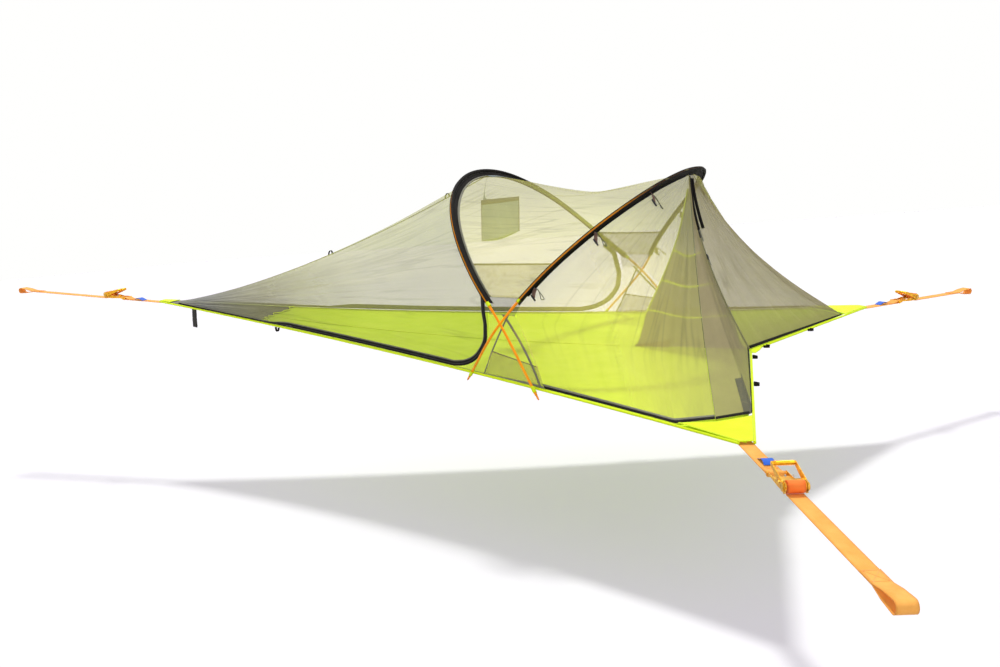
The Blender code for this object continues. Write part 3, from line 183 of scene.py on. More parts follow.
class Paint:
    """A material under construction: its node tree with short ways to add to it."""

    def __init__(self, name: str) -> None:
        """Start a Principled material of the given name."""
        self.material = bpy.data.materials.new(name)
        self.material.use_nodes = True
        self.tree = self.material.node_tree
        self.shader = self.tree.nodes["Principled BSDF"]

    def set(self, **values) -> None:
        """Set the shader's own sockets; a word's underscores stand for blanks."""
        for word, value in values.items():
            self.shader.inputs[word.replace("_", " ").title().replace("Ior", "IOR")].default_value = value

    def add(self, kind: str, inputs: Optional[dict] = None, **settings) -> bpy.types.Node:
        """Add a node.

        Args:
            kind: the node's type name.
            inputs: what its sockets get, by name or number: an output socket or a value.
            settings: the node's own properties.

        Returns:
            The new node.
        """
        node = self.tree.nodes.new(kind)
        for word, value in settings.items():
            setattr(node, word, value)
        for key, value in (inputs or {}).items():
            self.feed(node.inputs[key], value)
        return node

    def feed(self, socket: Socket, value) -> None:
        """Link an output to a socket, or set the socket's value."""
        if isinstance(value, Socket):
            self.tree.links.new(value, socket)
        else:
            socket.default_value = value

    def coordinates(self, flat: bool) -> Socket:
        """The piece's UV map in metres, or its Object coordinates."""
        return self.add("ShaderNodeTexCoord").outputs["UV" if flat else "Object"]

    def waves(self, where, pitch: float, axis: str, distortion: float = 0.0) -> Socket:
        """Bands of the given pitch in metres along X or Y, as a number from 0 to 1."""
        inputs = {"Vector": where, "Scale": math.pi / 10 / pitch, "Distortion": distortion}
        node = self.add("ShaderNodeTexWave", inputs, bands_direction=axis)
        return node.outputs["Fac"]

    def noise(self, where, size: float, detail: float = 3.0, rough: float = 0.5) -> Socket:
        """Soft noise whose patches are about size metres across, as a number from 0 to 1."""
        inputs = {"Vector": where, "Scale": 1 / size, "Detail": detail, "Roughness": rough}
        return self.add("ShaderNodeTexNoise", inputs).outputs["Fac"]

    def math(self, operation: str, a, b) -> Socket:
        """One operation on two numbers or sockets."""
        return self.add("ShaderNodeMath", {0: a, 1: b}, operation=operation).outputs[0]

    def blend(self, share, a: tuple, b: tuple) -> Socket:
        """A colour between a and b."""
        node = self.add("ShaderNodeMix", data_type="RGBA")
        self.feed(node.inputs[0], share)
        for socket, colour in ((node.inputs[6], a), (node.inputs[7], b)):
            self.feed(socket, colour if isinstance(colour, Socket) else (*colour, 1.0))
        return node.outputs[2]

    def stretch(self, value, low: float, high: float) -> Socket:
        """A number stretched so that low gives 0 and high gives 1, with the rest cut off."""
        node = self.add("ShaderNodeMapRange", {"Value": value, "From Min": low, "From Max": high})
        return node.outputs["Result"]

    def times(self, a, b) -> Socket:
        """The product of two numbers or sockets."""
        return self.math("MULTIPLY", a, b)

    def plus(self, a, b) -> Socket:
        """The sum of two numbers or sockets."""
        return self.math("ADD", a, b)

    def off(self, value, middle: float) -> Socket:
        """How far a number is from a middle one."""
        return self.math("ABSOLUTE", self.math("SUBTRACT", value, middle), 0.0)

    def use(self, colour=None, roughness=None, alpha=None) -> None:
        """Give the shader sockets for its colour, its roughness and its cover."""
        for word, value in (("Base Color", colour), ("Roughness", roughness), ("Alpha", alpha)):
            if value is not None:
                self.feed(self.shader.inputs[word], value)

    def bump(self, height, strength: float, depth: float) -> None:
        """Bump the shader by a height of up to depth metres."""
        node = self.add("ShaderNodeBump", {"Height": height, "Strength": strength, "Distance": depth})
        self.feed(self.shader.inputs["Normal"], node.outputs["Normal"])


@dataclass(frozen=True)
class Netting:
    """Fine see-through mosquito mesh of two crossing threads."""

    name: str
    light: tuple
    dark: tuple
    cover: float
    pitch: float = 0.0013
    folds: tuple = (1.0, 1.0)
    towards: tuple = (1.0, 0.0, 0.0)
    span: tuple = (0.0, 0.0)
    other: tuple = (0.0, 0.0, 0.0)
    other_cover: float = 0.0

    def build(self) -> bpy.types.Material:
        """Return the mesh's material: threads, long fold lines painted darker as shade in the creases, and
        another tone across a span.
        """
        paint = Paint(self.name)
        where = paint.coordinates(flat=True)
        warp, weft = (paint.waves(where, self.pitch, axis) for axis in "XY")
        threads = paint.math("MAXIMUM", warp, weft)
        patches = paint.noise(where, 0.16, 4.0, 0.6)
        share = paint.times(paint.stretch(patches, 0.30, 0.72), threads)
        colour = paint.blend(share, self.dark, self.light)
        cover = self.cover
        if self.other_cover:
            places = {0: paint.coordinates(flat=False), 1: self.towards}
            reach = paint.add("ShaderNodeVectorMath", places, operation="DOT_PRODUCT")
            tone = paint.stretch(reach.outputs["Value"], *self.span)
            colour = paint.blend(tone, colour, self.other)
            cover = paint.plus(paint.times(tone, self.other_cover - self.cover), self.cover)
        long = paint.add("ShaderNodeMapping", {"Vector": where, "Scale": (*self.folds, 1.0)})
        level = paint.noise(long.outputs[0], 0.14, 3.0, 0.55)
        spread = paint.stretch(paint.noise(where, 0.6, 1.0, 0.4), 0.36, 0.60)
        line = paint.times(paint.stretch(paint.off(level, 0.5), 0.022, 0.0), spread)
        # Painted shade: along the fold lines the colour darkens towards dark olive and the cover rises a
        # little.
        colour = paint.blend(paint.times(line, 0.6), colour, (0.22, 0.20, 0.09))
        paint.use(colour, alpha=paint.plus(cover, paint.times(line, 0.12)))
        paint.set(roughness=0.85, specular_ior_level=0.1)
        paint.bump(threads, 0.35, self.pitch / 4)
        return paint.material


@dataclass(frozen=True)
class Cloth:
    """Close woven cloth, with its weave, its wear and a little sheen."""

    name: str
    light: tuple
    dark: tuple
    roughness: float = 0.65
    pitch: float = 0.0009
    rib: float = 0.0
    sheen: float = 0.3
    flat: bool = True

    def build(self) -> bpy.types.Material:
        """Return the cloth's material."""
        paint = Paint(self.name)
        where = paint.coordinates(self.flat)
        warp = paint.waves(where, self.pitch, "X")
        weft = paint.waves(where, self.rib or self.pitch, "Y", 0.3)
        weave = weft if self.rib else paint.times(warp, weft)
        patches = paint.stretch(paint.noise(where, 0.11, 5.0, 0.6), 0.32, 0.70)
        fine = paint.times(paint.plus(paint.times(weave, 0.5), 0.5), patches)
        rough = paint.plus(paint.times(patches, -0.12), self.roughness)
        paint.use(paint.blend(fine, self.dark, self.light), rough)
        paint.set(sheen_weight=self.sheen, sheen_roughness=0.4, specular_ior_level=0.15)
        paint.bump(weave, 0.45, (self.rib or self.pitch) / 3)
        return paint.material


@dataclass(frozen=True)
class Webbing:
    """Heavy woven strap: ribs across it, a herringbone and darker, tighter edges."""

    name: str
    light: tuple
    dark: tuple
    half_width: float
    pitch: float = 0.0021

    def build(self) -> bpy.types.Material:
        """Return the strap's material; its UV map runs across X and along Y in metres."""
        paint = Paint(self.name)
        where = paint.coordinates(flat=True)
        split = paint.add("ShaderNodeSeparateXYZ", {0: where})
        across, run = split.outputs[0], split.outputs[1]
        zigzag = paint.math("PINGPONG", across, self.pitch * 4)
        rows = paint.add("ShaderNodeCombineXYZ", {0: across, 1: paint.plus(run, zigzag)})
        ribs = paint.waves(rows.outputs[0], self.pitch, "Y")
        cords = paint.waves(where, self.pitch * 1.4, "X")
        weave = paint.times(ribs, paint.plus(paint.times(cords, 0.5), 0.5))
        middle = paint.off(across, self.half_width)
        edge = paint.stretch(middle, self.half_width * 0.84, self.half_width * 0.93)
        fade = paint.stretch(paint.noise(where, 0.09, 4.0, 0.6), 0.3, 0.7)
        tone = paint.times(paint.plus(paint.times(weave, 0.55), 0.45), fade)
        tone = paint.times(tone, paint.math("SUBTRACT", 1.0, paint.times(edge, 0.5)))
        paint.use(paint.blend(tone, self.dark, self.light))
        paint.set(roughness=0.7, sheen_weight=0.05, sheen_roughness=0.4, specular_ior_level=0.2)
        paint.bump(weave, 0.6, self.pitch / 4)
        return paint.material


@dataclass(frozen=True)
class Metal:
    """Plated or bare metal with patches of tint, fine scratches and duller worn spots."""

    name: str
    light: tuple
    dark: tuple
    roughness: float = 0.3
    patch: float = 0.012

    def build(self) -> bpy.types.Material:
        """Return the metal's material."""
        paint = Paint(self.name)
        where = paint.coordinates(flat=False)
        tint = paint.stretch(paint.noise(where, self.patch, 4.0, 0.6), 0.35, 0.68)
        wear = paint.noise(where, self.patch / 3, 6.0, 0.7)
        rough = paint.plus(paint.times(wear, 0.22), self.roughness - 0.1)
        paint.use(paint.blend(tint, self.dark, self.light), rough)
        paint.set(metallic=1.0)
        long = paint.add("ShaderNodeMapping", {"Vector": where, "Scale": (0.08, 1.0, 1.0)})
        scratches = paint.noise(long.outputs[0], 0.0006, 2.0, 0.5)
        paint.bump(paint.plus(scratches, wear), 0.12, 0.0003)
        return paint.material


@dataclass(frozen=True)
class Hard:
    """Moulded plastic or lacquered tube with a faint skin texture."""

    name: str
    light: tuple
    dark: tuple
    roughness: float = 0.4
    coat: float = 0.0
    grain: float = 0.0012

    def build(self) -> bpy.types.Material:
        """Return the material."""
        paint = Paint(self.name)
        where = paint.coordinates(flat=False)
        patches = paint.stretch(paint.noise(where, 0.05, 3.0, 0.5), 0.3, 0.7)
        grain = paint.noise(where, self.grain, 2.0, 0.5)
        rough = paint.plus(paint.times(grain, 0.15), self.roughness - 0.06)
        paint.use(paint.blend(patches, self.dark, self.light), rough)
        paint.set(coat_weight=self.coat, coat_roughness=0.12, specular_ior_level=0.25)
        paint.bump(grain, 0.15, self.grain / 4)
        return paint.material


class Finish(Enum):
    """Every finish of the tent."""

    # The next five nettings are one netting: the different colour each panel gets is painted light and shade.
    MESH = Netting("door_mesh", (0.52, 0.50, 0.16), (0.38, 0.36, 0.11), 0.37, folds=(0.05, 1.3),
                   span=(-1.4, -2.3), other=(0.27, 0.27, 0.25), other_cover=0.78)
    ROOF_MESH = Netting("roof_mesh", (0.50, 0.46, 0.16), (0.38, 0.34, 0.11), 0.41, folds=(0.07, 1.3),
                        towards=(0, 0, 1), span=(0.69, 0.46), other=(1.0, 0.90, 0.27), other_cover=0.31)
    KICK_MESH = Netting("low_mesh", (0.80, 0.72, 0.24), (0.66, 0.58, 0.18), 0.28, folds=(0.6, 0.6))
    # Painted light: the side walls get a brighter copy of the netting.
    PALE_MESH = Netting("side_mesh", (1.0, 0.89, 0.24), (0.92, 0.80, 0.18), 0.30, folds=(1.3, 0.05),
                        towards=(0.8, 0, 0.6), span=(0.46, 0.80), other=(0.44, 0.40, 0.16), other_cover=0.60)
    # Painted shade: the end walls get a darker copy of the netting.
    DULL_MESH = Netting("end_mesh", (0.40, 0.34, 0.18), (0.31, 0.26, 0.14), 0.74, folds=(1.3, 0.05))
    # Painted shade: a dark, dense netting for a patch low on the near end wall.
    FACING_MESH = Netting("facing_mesh", (0.15, 0.145, 0.105), (0.11, 0.105, 0.075), 0.88)
    DARK_MESH = Netting("dark_mesh_cloth", (0.11, 0.135, 0.15), (0.08, 0.10, 0.115), 0.84, 0.0017)
    DIVIDER_POCKET = Netting("divider_pocket_mesh", (0.10, 0.12, 0.135), (0.07, 0.09, 0.10), 0.5, 0.0017)
    POCKET_MESH = Netting("pocket_mesh_cloth", (0.27, 0.25, 0.13), (0.18, 0.16, 0.08), 0.48, 0.0022)
    TOE_CLOTH = Cloth("tip_floor_cloth", (0.085, 0.088, 0.090), (0.060, 0.062, 0.064), 0.7, sheen=0.0)
    FACING = Cloth("sleeve_facing", (0.22, 0.26, 0.27), (0.16, 0.19, 0.20), 0.7, sheen=0.0)
    ZIP_LINING = Cloth("zip_lining", (0.11, 0.14, 0.17), (0.07, 0.09, 0.115), 0.7, sheen=0.0)
    SEAM = Cloth("mesh_seam", (0.36, 0.34, 0.16), (0.22, 0.20, 0.09), flat=False, sheen=0.0)
    FLOOR = Cloth("floor_cloth", (0.68, 0.88, 0.008), (0.56, 0.78, 0.006), 0.6, 0.0011, sheen=0.0)
    HEM = Cloth("hem_cloth", (0.76, 0.90, 0.014), (0.64, 0.82, 0.010), 0.6, 0.0010, sheen=0.0)
    SLEEVE = Cloth("sleeve_cloth", (0.016, 0.013, 0.011), (0.005, 0.004, 0.004), 0.9, 0.0012, 0.0032, 0.0)
    CHANNEL = Netting("pole_channel_mesh", (0.030, 0.026, 0.020), (0.010, 0.010, 0.008), 0.20, 0.0020,
                      towards=(0, 0, 1), span=(0.64, 0.75), other=(0.014, 0.013, 0.012), other_cover=0.9)
    TAPE = Cloth("binding_tape", (0.016, 0.014, 0.012), (0.006, 0.005, 0.005), 0.9, 0.0008, 0.0016, 0.0)
    GREY_TAPE = Cloth("grey_tape", (0.24, 0.235, 0.18), (0.16, 0.155, 0.115), 0.7, 0.0008, 0.0016, 0.0)
    DARK_TAPE = Cloth("pocket_binding", (0.10, 0.10, 0.07), (0.05, 0.05, 0.035), 0.7, 0.0008, 0.0016, 0.1)
    LOFT_CLOTH = Cloth("loft_cloth", (0.44, 0.50, 0.46), (0.34, 0.39, 0.36), 0.7, 0.0010, sheen=0.0)
    BROWN = Cloth("brown_tab", (0.25, 0.15, 0.11), (0.14, 0.08, 0.06), 0.65, 0.0010)
    OLIVE_CORD = Cloth("olive_cord", (0.17, 0.17, 0.10), (0.09, 0.09, 0.05), 0.6, 0.0008, flat=False)
    COIL = Hard("zip_coil", (0.030, 0.030, 0.030), (0.012, 0.012, 0.012), 0.35)
    PLASTIC = Hard("black_plastic", (0.035, 0.035, 0.036), (0.018, 0.018, 0.018), 0.42)
    POLE = Hard("pole_lacquer", (1.0, 0.36, 0.0), (0.92, 0.28, 0.0), 0.45)
    FERRULE = Hard("ferrule_lacquer", (0.95, 0.29, 0.0), (0.82, 0.22, 0.0), 0.38)
    STRAP = Webbing("strap_webbing", (1.0, 0.52, 0.13), (0.84, 0.32, 0.05), 0.025)
    # Painted shade: the wound roll gets a darker, redder copy of the strap's webbing.
    WOUND = Webbing("wound_webbing", (1.0, 0.30, 0.06), (0.88, 0.15, 0.018), 0.025)
    BLACK_STRAP = Webbing("black_webbing", (0.050, 0.045, 0.040), (0.014, 0.013, 0.012), 0.020)
    BLUE = Cloth("blue_tab_cloth", (0.03, 0.17, 0.75), (0.02, 0.10, 0.55), 0.5, 0.0007, sheen=0.0)
    THREAD = Cloth("thread", (0.95, 0.42, 0.14), (0.70, 0.22, 0.05), 0.6, 0.0006, flat=False)
    DARK_THREAD = Cloth("dark_thread", (0.06, 0.06, 0.06), (0.03, 0.03, 0.03), 0.6, 0.0006, flat=False)
    ZINC = Metal("yellow_zinc", (0.98, 0.56, 0.035), (0.66, 0.27, 0.012), 0.34)
    WORN_ZINC = Metal("worn_zinc", (0.80, 0.50, 0.11), (0.46, 0.24, 0.03), 0.38)
    SPRING = Metal("spring_steel", (0.62, 0.61, 0.58), (0.45, 0.44, 0.42), 0.25)

    @property
    def material(self) -> bpy.types.Material:
        """The finish's one material, made when it is first asked for."""
        found = bpy.data.materials.get(self.value.name)
        return found or self.value.build()


@dataclass(frozen=True)
class Piece:
    """A finished object of the scene, with what the frame has to know of it."""

    obj: bpy.types.Object

    def on(self, body: str, slot: str, *nodes: str) -> "Piece":
        """Make the piece ride on a body and stand for nodes."""
        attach(self.obj, body)
        if nodes:
            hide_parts(*nodes)
        LOG.info("%s on %s, %d faces", self.obj.name, body, len(self.obj.data.polygons))
        return self

    def sheet(self, surface: Surface, rests_on: Sequence[str], thick: bool = False) -> "Piece":
        """Args:
            surface: what shaped it.
            rests_on: the nodes or pieces that hold it; not used.
            thick: whether its mesh has both faces of the cloth.

        Returns:
            The piece.
        """
        steps = [i / 16 for i in range(17)]
        width = max(length_of([surface(u, v) for u in steps]) for v in steps[::4])
        length = max(length_of([surface(u, v) for v in steps]) for u in steps[::4])
        area = sum(polygon.area for polygon in self.obj.data.polygons) / (2 if thick else 1)
        flat = (max(width, 0.012), max(length, 0.012))
        list(rests_on)
        LOG.info("%s cut to %.3f by %.3f m, %.3f square metres", self.obj.name, *flat, area)
        return self


def placed(name: str, data: bpy.types.ID) -> bpy.types.Object:
    """An object of the scene that holds the data."""
    obj = bpy.data.objects.new(name, data)
    bpy.context.scene.collection.objects.link(obj)
    return obj


def finished(name: str, bm: Mesh, finish: Finish, shaded: bool = True) -> Piece:
    """Turn a bmesh into an object of one finish and free the bmesh."""
    data = bpy.data.meshes.new(name)
    bm.to_mesh(data)
    bm.free()
    for polygon in data.polygons:
        polygon.use_smooth = shaded
    data.materials.append(finish.material)
    return Piece(placed(name, data))


def grid(
    surface: Surface,
    columns: int,
    rows: int,
    size: Optional[tuple[float, float]] = None,
    relief: Optional[Relief] = None,
    lift: float = 0.0,
) -> Mesh:
    """A grid shaped by surface(u, v) with its faces turned away from the tent's middle.

    Args:
        surface: gives the place of u and v, each from 0 to 1.
        columns: faces along u.
        rows: faces along v.
        size: what the UV map spans in metres, or none to lay the map flat on the cloth's own plane.
        relief: how far folds lift the cloth outwards at u and v.
        lift: how far the whole cloth is moved outwards.

    Returns:
        The shaped bmesh, with a UV map in metres.
    """
    bm = bmesh.new()
    bmesh.ops.create_grid(bm, x_segments=columns, y_segments=rows, size=1.0)
    places = {vert: ((vert.co.x + 1) / 2, (vert.co.y + 1) / 2) for vert in bm.verts}
    for vert, (u, v) in places.items():
        vert.co = surface(u, v)
    bm.normal_update()
    outward = sum((face.calc_center_median() - HUB).dot(face.normal) for face in bm.faces)
    if outward < 0:
        bmesh.ops.reverse_faces(bm, faces=bm.faces)
    bm.normal_update()
    if relief or lift:
        for vert, (u, v) in places.items():
            vert.co += vert.normal * (lift + (relief(u, v) if relief else 0.0))
        bm.normal_update()
    layer = bm.loops.layers.uv.new("UVMap")
    if size is None:
        normal = sum((face.normal * face.calc_area() for face in bm.faces), Vector())
        first = (surface(1.0, 0.5) - surface(0.0, 0.5)).normalized()
        second = normal.cross(first).normalized()
    for vert, (u, v) in places.items():
        flat = (u * size[0], v * size[1]) if size else (vert.co.dot(first), vert.co.dot(second))
        for loop in vert.link_loops:
            loop[layer].uv = flat
    return bm


def creases(seed: float, across: float, run: float, depth: float) -> Relief:
    """Shallow tension folds, drawn long one way, that die out at a panel's edges.

    Args:
        seed: which folds.
        across: how many folds along u.
        run: how many along v.
        depth: how deep they are, in metres.

    Returns:
        The relief.
    """

    def relief(u: float, v: float) -> float:
        """How far the cloth stands out at u and v."""
        held = min(1.0, 14 * u * (1 - u)) * min(1.0, 14 * v * (1 - v))
        broad = noise.noise(Vector((u * across, v * run, seed)))
        fine = noise.noise(Vector((u * across * 2.7, v * run * 2.7, seed + 5)))
        return depth * held * (broad + 0.45 * fine)

    return relief


def thickened(bm: Mesh, thickness: float) -> Mesh:
    """Give a grid of cloth a thickness, half to each side."""
    bm.normal_update()
    for vert in bm.verts:
        vert.co += vert.normal * thickness / 2
    bmesh.ops.solidify(bm, geom=bm.faces[:], thickness=thickness)
    bmesh.ops.recalc_face_normals(bm, faces=bm.faces)
    return bm


def tube(points: Points, radius, sides: int = 12, columns: Optional[int] = None) -> Mesh:
    """A round closed-ended tube along points.

    Args:
        points: the tube's axis.
        radius: one radius, or a function of the share of the way along.
        sides: faces round it.
        columns: faces along it, or none for one to each stretch of the axis.

    Returns:
        The tube, with a UV map in metres that runs round it on X and along it on Y.
    """

    def wide(share: float) -> float:
        """The tube's radius at a share of the way along."""
        return radius(share) if callable(radius) else radius

    count = columns or len(points) - 1
    tangents = runs(points)
    side = tangents[0].orthogonal().normalized()
    sideways = []
    for tangent in tangents:
        side = square_to(tangent, side)
        sideways.append(side)

    def surface(u: float, v: float) -> Vector:
        """u round the tube, v along it."""
        tangent = at(tangents, v).normalized()
        across = square_to(tangent, at(sideways, v))
        angle = 2 * math.pi * u
        out = across * math.cos(angle) + tangent.cross(across) * math.sin(angle)
        return at(points, v) + out * wide(v)

    girth = 2 * math.pi * max(wide(i / 8) for i in range(9))
    bm = grid(surface, sides, count, (girth, length_of(points)))
    bmesh.ops.remove_doubles(bm, verts=bm.verts, dist=1e-6)
    bmesh.ops.holes_fill(bm, edges=[e for e in bm.edges if e.is_boundary], sides=0)
    bmesh.ops.recalc_face_normals(bm, faces=bm.faces)
    return bm


def rounded(bm: Mesh, offset: float, segments: int = 2) -> None:
    """Round every edge of a mesh."""
    edges = bm.edges[:]
    bmesh.ops.bevel(
        bm, geom=edges, offset=offset, segments=segments, profile=0.5, affect="EDGES", material=-1
    )


def block(size: tuple, matrix: Matrix, bevel: float, segments: int = 2) -> Mesh:
    """A box with rounded edges, placed by a matrix."""
    bm = bmesh.new()
    bmesh.ops.create_cube(bm, size=1.0)
    bmesh.ops.scale(bm, vec=Vector(size), verts=bm.verts)
    rounded(bm, bevel, segments)
    bmesh.ops.transform(bm, matrix=matrix, verts=bm.verts)
    return bm


def together(meshes: Sequence[Mesh]) -> Mesh:
    """One bmesh that holds several, each freed."""
    whole = bmesh.new()
    for bm in meshes:
        data = bpy.data.meshes.new("Part")
        bm.to_mesh(data)
        bm.free()
        whole.from_mesh(data)
        bpy.data.meshes.remove(data)
    return whole


@dataclass(frozen=True)
class Plan:
    """Where the hems run in the plane that the three straps hold, all sizes in metres."""

    tip_reach: float = 2.706
    corner_reach: float = 1.110
    half_edge: float = 1.350
    edge_inset: float = 0.299
    sag: float = 0.152
    dip: float = 0.028
    radius: float = 0.005
    cloth: float = 0.002
    reach: float = 0.0015
    strap_width: float = 0.050
    angle: float = math.radians(60)

    @property
    def tip(self) -> Vector:
        """The tip corner."""
        return Vector((-self.tip_reach, 0, 0))

    @property
    def corner(self) -> Vector:
        """The near corner."""
        return Vector((self.corner_reach, -self.half_edge, 0))

    @property
    def middle(self) -> Vector:
        """The pulled-in middle of the short edge."""
        return Vector((self.corner_reach - self.edge_inset, 0, 0))

    @property
    def across(self) -> Vector:
        """The way across the near corner's strap."""
        return Vector((math.sin(self.angle), math.cos(self.angle), 0))

    @property
    def ends(self) -> tuple[Vector, Vector]:
        """The near long hem's two ends."""
        half = self.strap_width / 2
        return self.tip - Vector((0, half, 0)), self.corner - self.across * half

    def near(self, share: float, inset: float = 0.0, rise: float = 0.0) -> Vector:
        """A point on the near long hem, moved in over the floor by inset and up by rise."""
        start, end = self.ends
        chord = end - start
        bow = 4 * share * (1 - share)
        inward = Vector((-chord.y, chord.x, 0)).normalized()
        point = start + chord * share + inward * (self.sag * bow + inset)
        point.z = rise - self.dip * bow
        return point

    def share_at(self, x: float) -> float:
        """How far along the near long hem its point with this X lies."""
        return solved(lambda share: self.near(share).x, x)

    def short(self, inset: float = 0.0, rise: float = 0.0) -> Points:
        """The short hem from the near corner to the far one, through the pulled-in middle."""
        shift = Vector((-inset, 0, rise))
        start = self.corner + self.across * self.strap_width / 2
        near = [start + shift, lerp(start, self.middle, 0.5) + shift]
        return near + [self.middle + shift] + [mirrored(p) for p in reversed(near)]

    @property
    def sill(self) -> tuple[float, float]:
        """How far in and how far up from the hem's cord a wall stands on it."""
        inset = self.radius * 0.6
        return inset, math.sqrt((self.radius + self.reach) ** 2 - inset**2)

    def sill_line(self, start_x: float, end_x: float, count: int) -> Points:
        """The line that a wall stands on, between two places along the near hem."""
        start, end = self.share_at(start_x), self.share_at(end_x)
        return line_of(lambda share: self.near(share, *self.sill), count - 1, start, end)


PLAN = Plan()


class Arch:
    """The axis of a bent pole from its near foot over the top to its far foot."""

    STATIONS = 32
    FINE = 6
    HALF_SPAN = 0.874
    HEIGHT = 0.211
    RADIUS = 0.00525
    CLEARANCE = 0.0016
    FOOT = Vector((0.0, -0.022, -0.040))
    SLEEVE_DEPTH = 0.040
    SEAM_DEPTH = 0.034
    SEAM_SHIFT = 0.0021
    SLEEVE_START = 0.080

    def __init__(self, name: str, foot_x: float, top: tuple, shares: Sequence[tuple], side: int) -> None:
        """Lay the pole out.

        Args:
            name: the pole's word in the frame's nodes.
            foot_x: where its feet stand along the hems.
            top: its highest point's X and Z.
            shares: its run between the crossing and the top: shares of the top's X, of the crossing's Y
                and of the climb.
            side: 1 for the pole that passes outside the other, or else -1.
        """
        self.name = name
        foot = PLAN.near(PLAN.share_at(foot_x))
        foot = Vector((foot_x, foot.y + self.FOOT.y, self.FOOT.z))
        cross = Vector((0, -self.HALF_SPAN - side * (self.RADIUS + self.CLEARANCE), self.HEIGHT))
        half = [foot, cross]
        half += [Vector((top[0] * r, cross.y * s, lerp(cross.z, top[1], h))) for r, s, h in shares]
        whole = half + [Vector((top[0], 0, top[1]))] + [mirrored(p) for p in reversed(half)]
        self.count = self.STATIONS * 2 * self.FINE
        self.points = along(whole, self.count + 1)
        self.tangents = runs(self.points)
        hub = Vector((top[0] * 0.3, 0, HUB.z))
        self.inward = [square_to(run, hub - point) for run, point in zip(self.tangents, self.points)]
        self.sideways = [run.cross(way).normalized() for run, way in zip(self.tangents, self.inward)]
        coarse = self.points[:: self.FINE]
        self.first = next(
            i for i, p in enumerate(coarse) if p.z > cross.z and (p - cross).length > self.SLEEVE_START
        )
        self.last = self.STATIONS * 2 - self.first
        self.spacing = (coarse[1] - coarse[0]).length

    def point(self, place: float, depth: float = 0.0, shift: float = 0.0) -> Vector:
        """A point beside the pole, at a place counted in stations: depth inwards, shift sideways."""
        place *= self.FINE
        index = min(max(int(place), 0), self.count - 1)
        share = place - index
        axis, inward, sideways = (
            line[index].lerp(line[index + 1], share) for line in (self.points, self.inward, self.sideways)
        )
        return axis + inward * depth + sideways * shift

    def seam(self, shift: float, start: float, end: float, count: int) -> Points:
        """The line along the sleeve's flange that a wall is sewn to, on one of its sides."""
        return self.line(start, end, count - 1, self.SEAM_DEPTH, shift)

    def line(self, start: float, end: float, steps: int, depth: float = 0.0, shift: float = 0.0) -> Points:
        """A line beside the pole from one place along it to another."""
        return line_of(lambda place: self.point(place, depth, shift), steps, start, end)


TIP_RISE = ((0.337, 0.892, 0.307), (0.560, 0.780, 0.530), (0.746, 0.633, 0.726), (0.886, 0.446, 0.874))
WIDE_RISE = ((0.255, 0.859, 0.331), (0.472, 0.732, 0.553), (0.686, 0.588, 0.744), (0.864, 0.421, 0.890))
TIP_ARCH = Arch("tip", 0.195, (-0.528, 0.784), TIP_RISE + ((0.972, 0.230, 0.969),), -1)
WIDE_ARCH = Arch("wide", -0.190, (0.538, 0.801), WIDE_RISE + ((0.972, 0.223, 0.976),), 1)


def loft(start: Points, end: Points, bottom: Points, top: Points) -> Surface:
    """A surface between two side lines, drawn to the bottom and top lines near these."""

    def surface(u: float, v: float) -> Vector:
        """The point u across from start to end and v up from bottom to top."""
        ruled = lerp(at(start, v), at(end, v), u)
        low = at(bottom, u) - lerp(start[0], end[0], u)
        high = at(top, u) - lerp(start[-1], end[-1], u)
        blend = smooth(v)
        return ruled + low * (1 - blend) + high * blend

    return surface


def sagging(start: Vector, end: Vector, sag: float, count: int, power: float) -> Points:
    """Points of a line that hangs below the straight run between two points."""
    points = line_of(lambda share: lerp(start, end, share), count - 1)
    for i, point in enumerate(points):
        bend = (i / (count - 1)) ** power
        point.z -= sag * 4 * bend * (1 - bend)
    return points


def mirror(surface: Surface, side: Side) -> Surface:
    """A near side's surface on the given side."""
    return lambda u, v: side.of(surface(u, v))


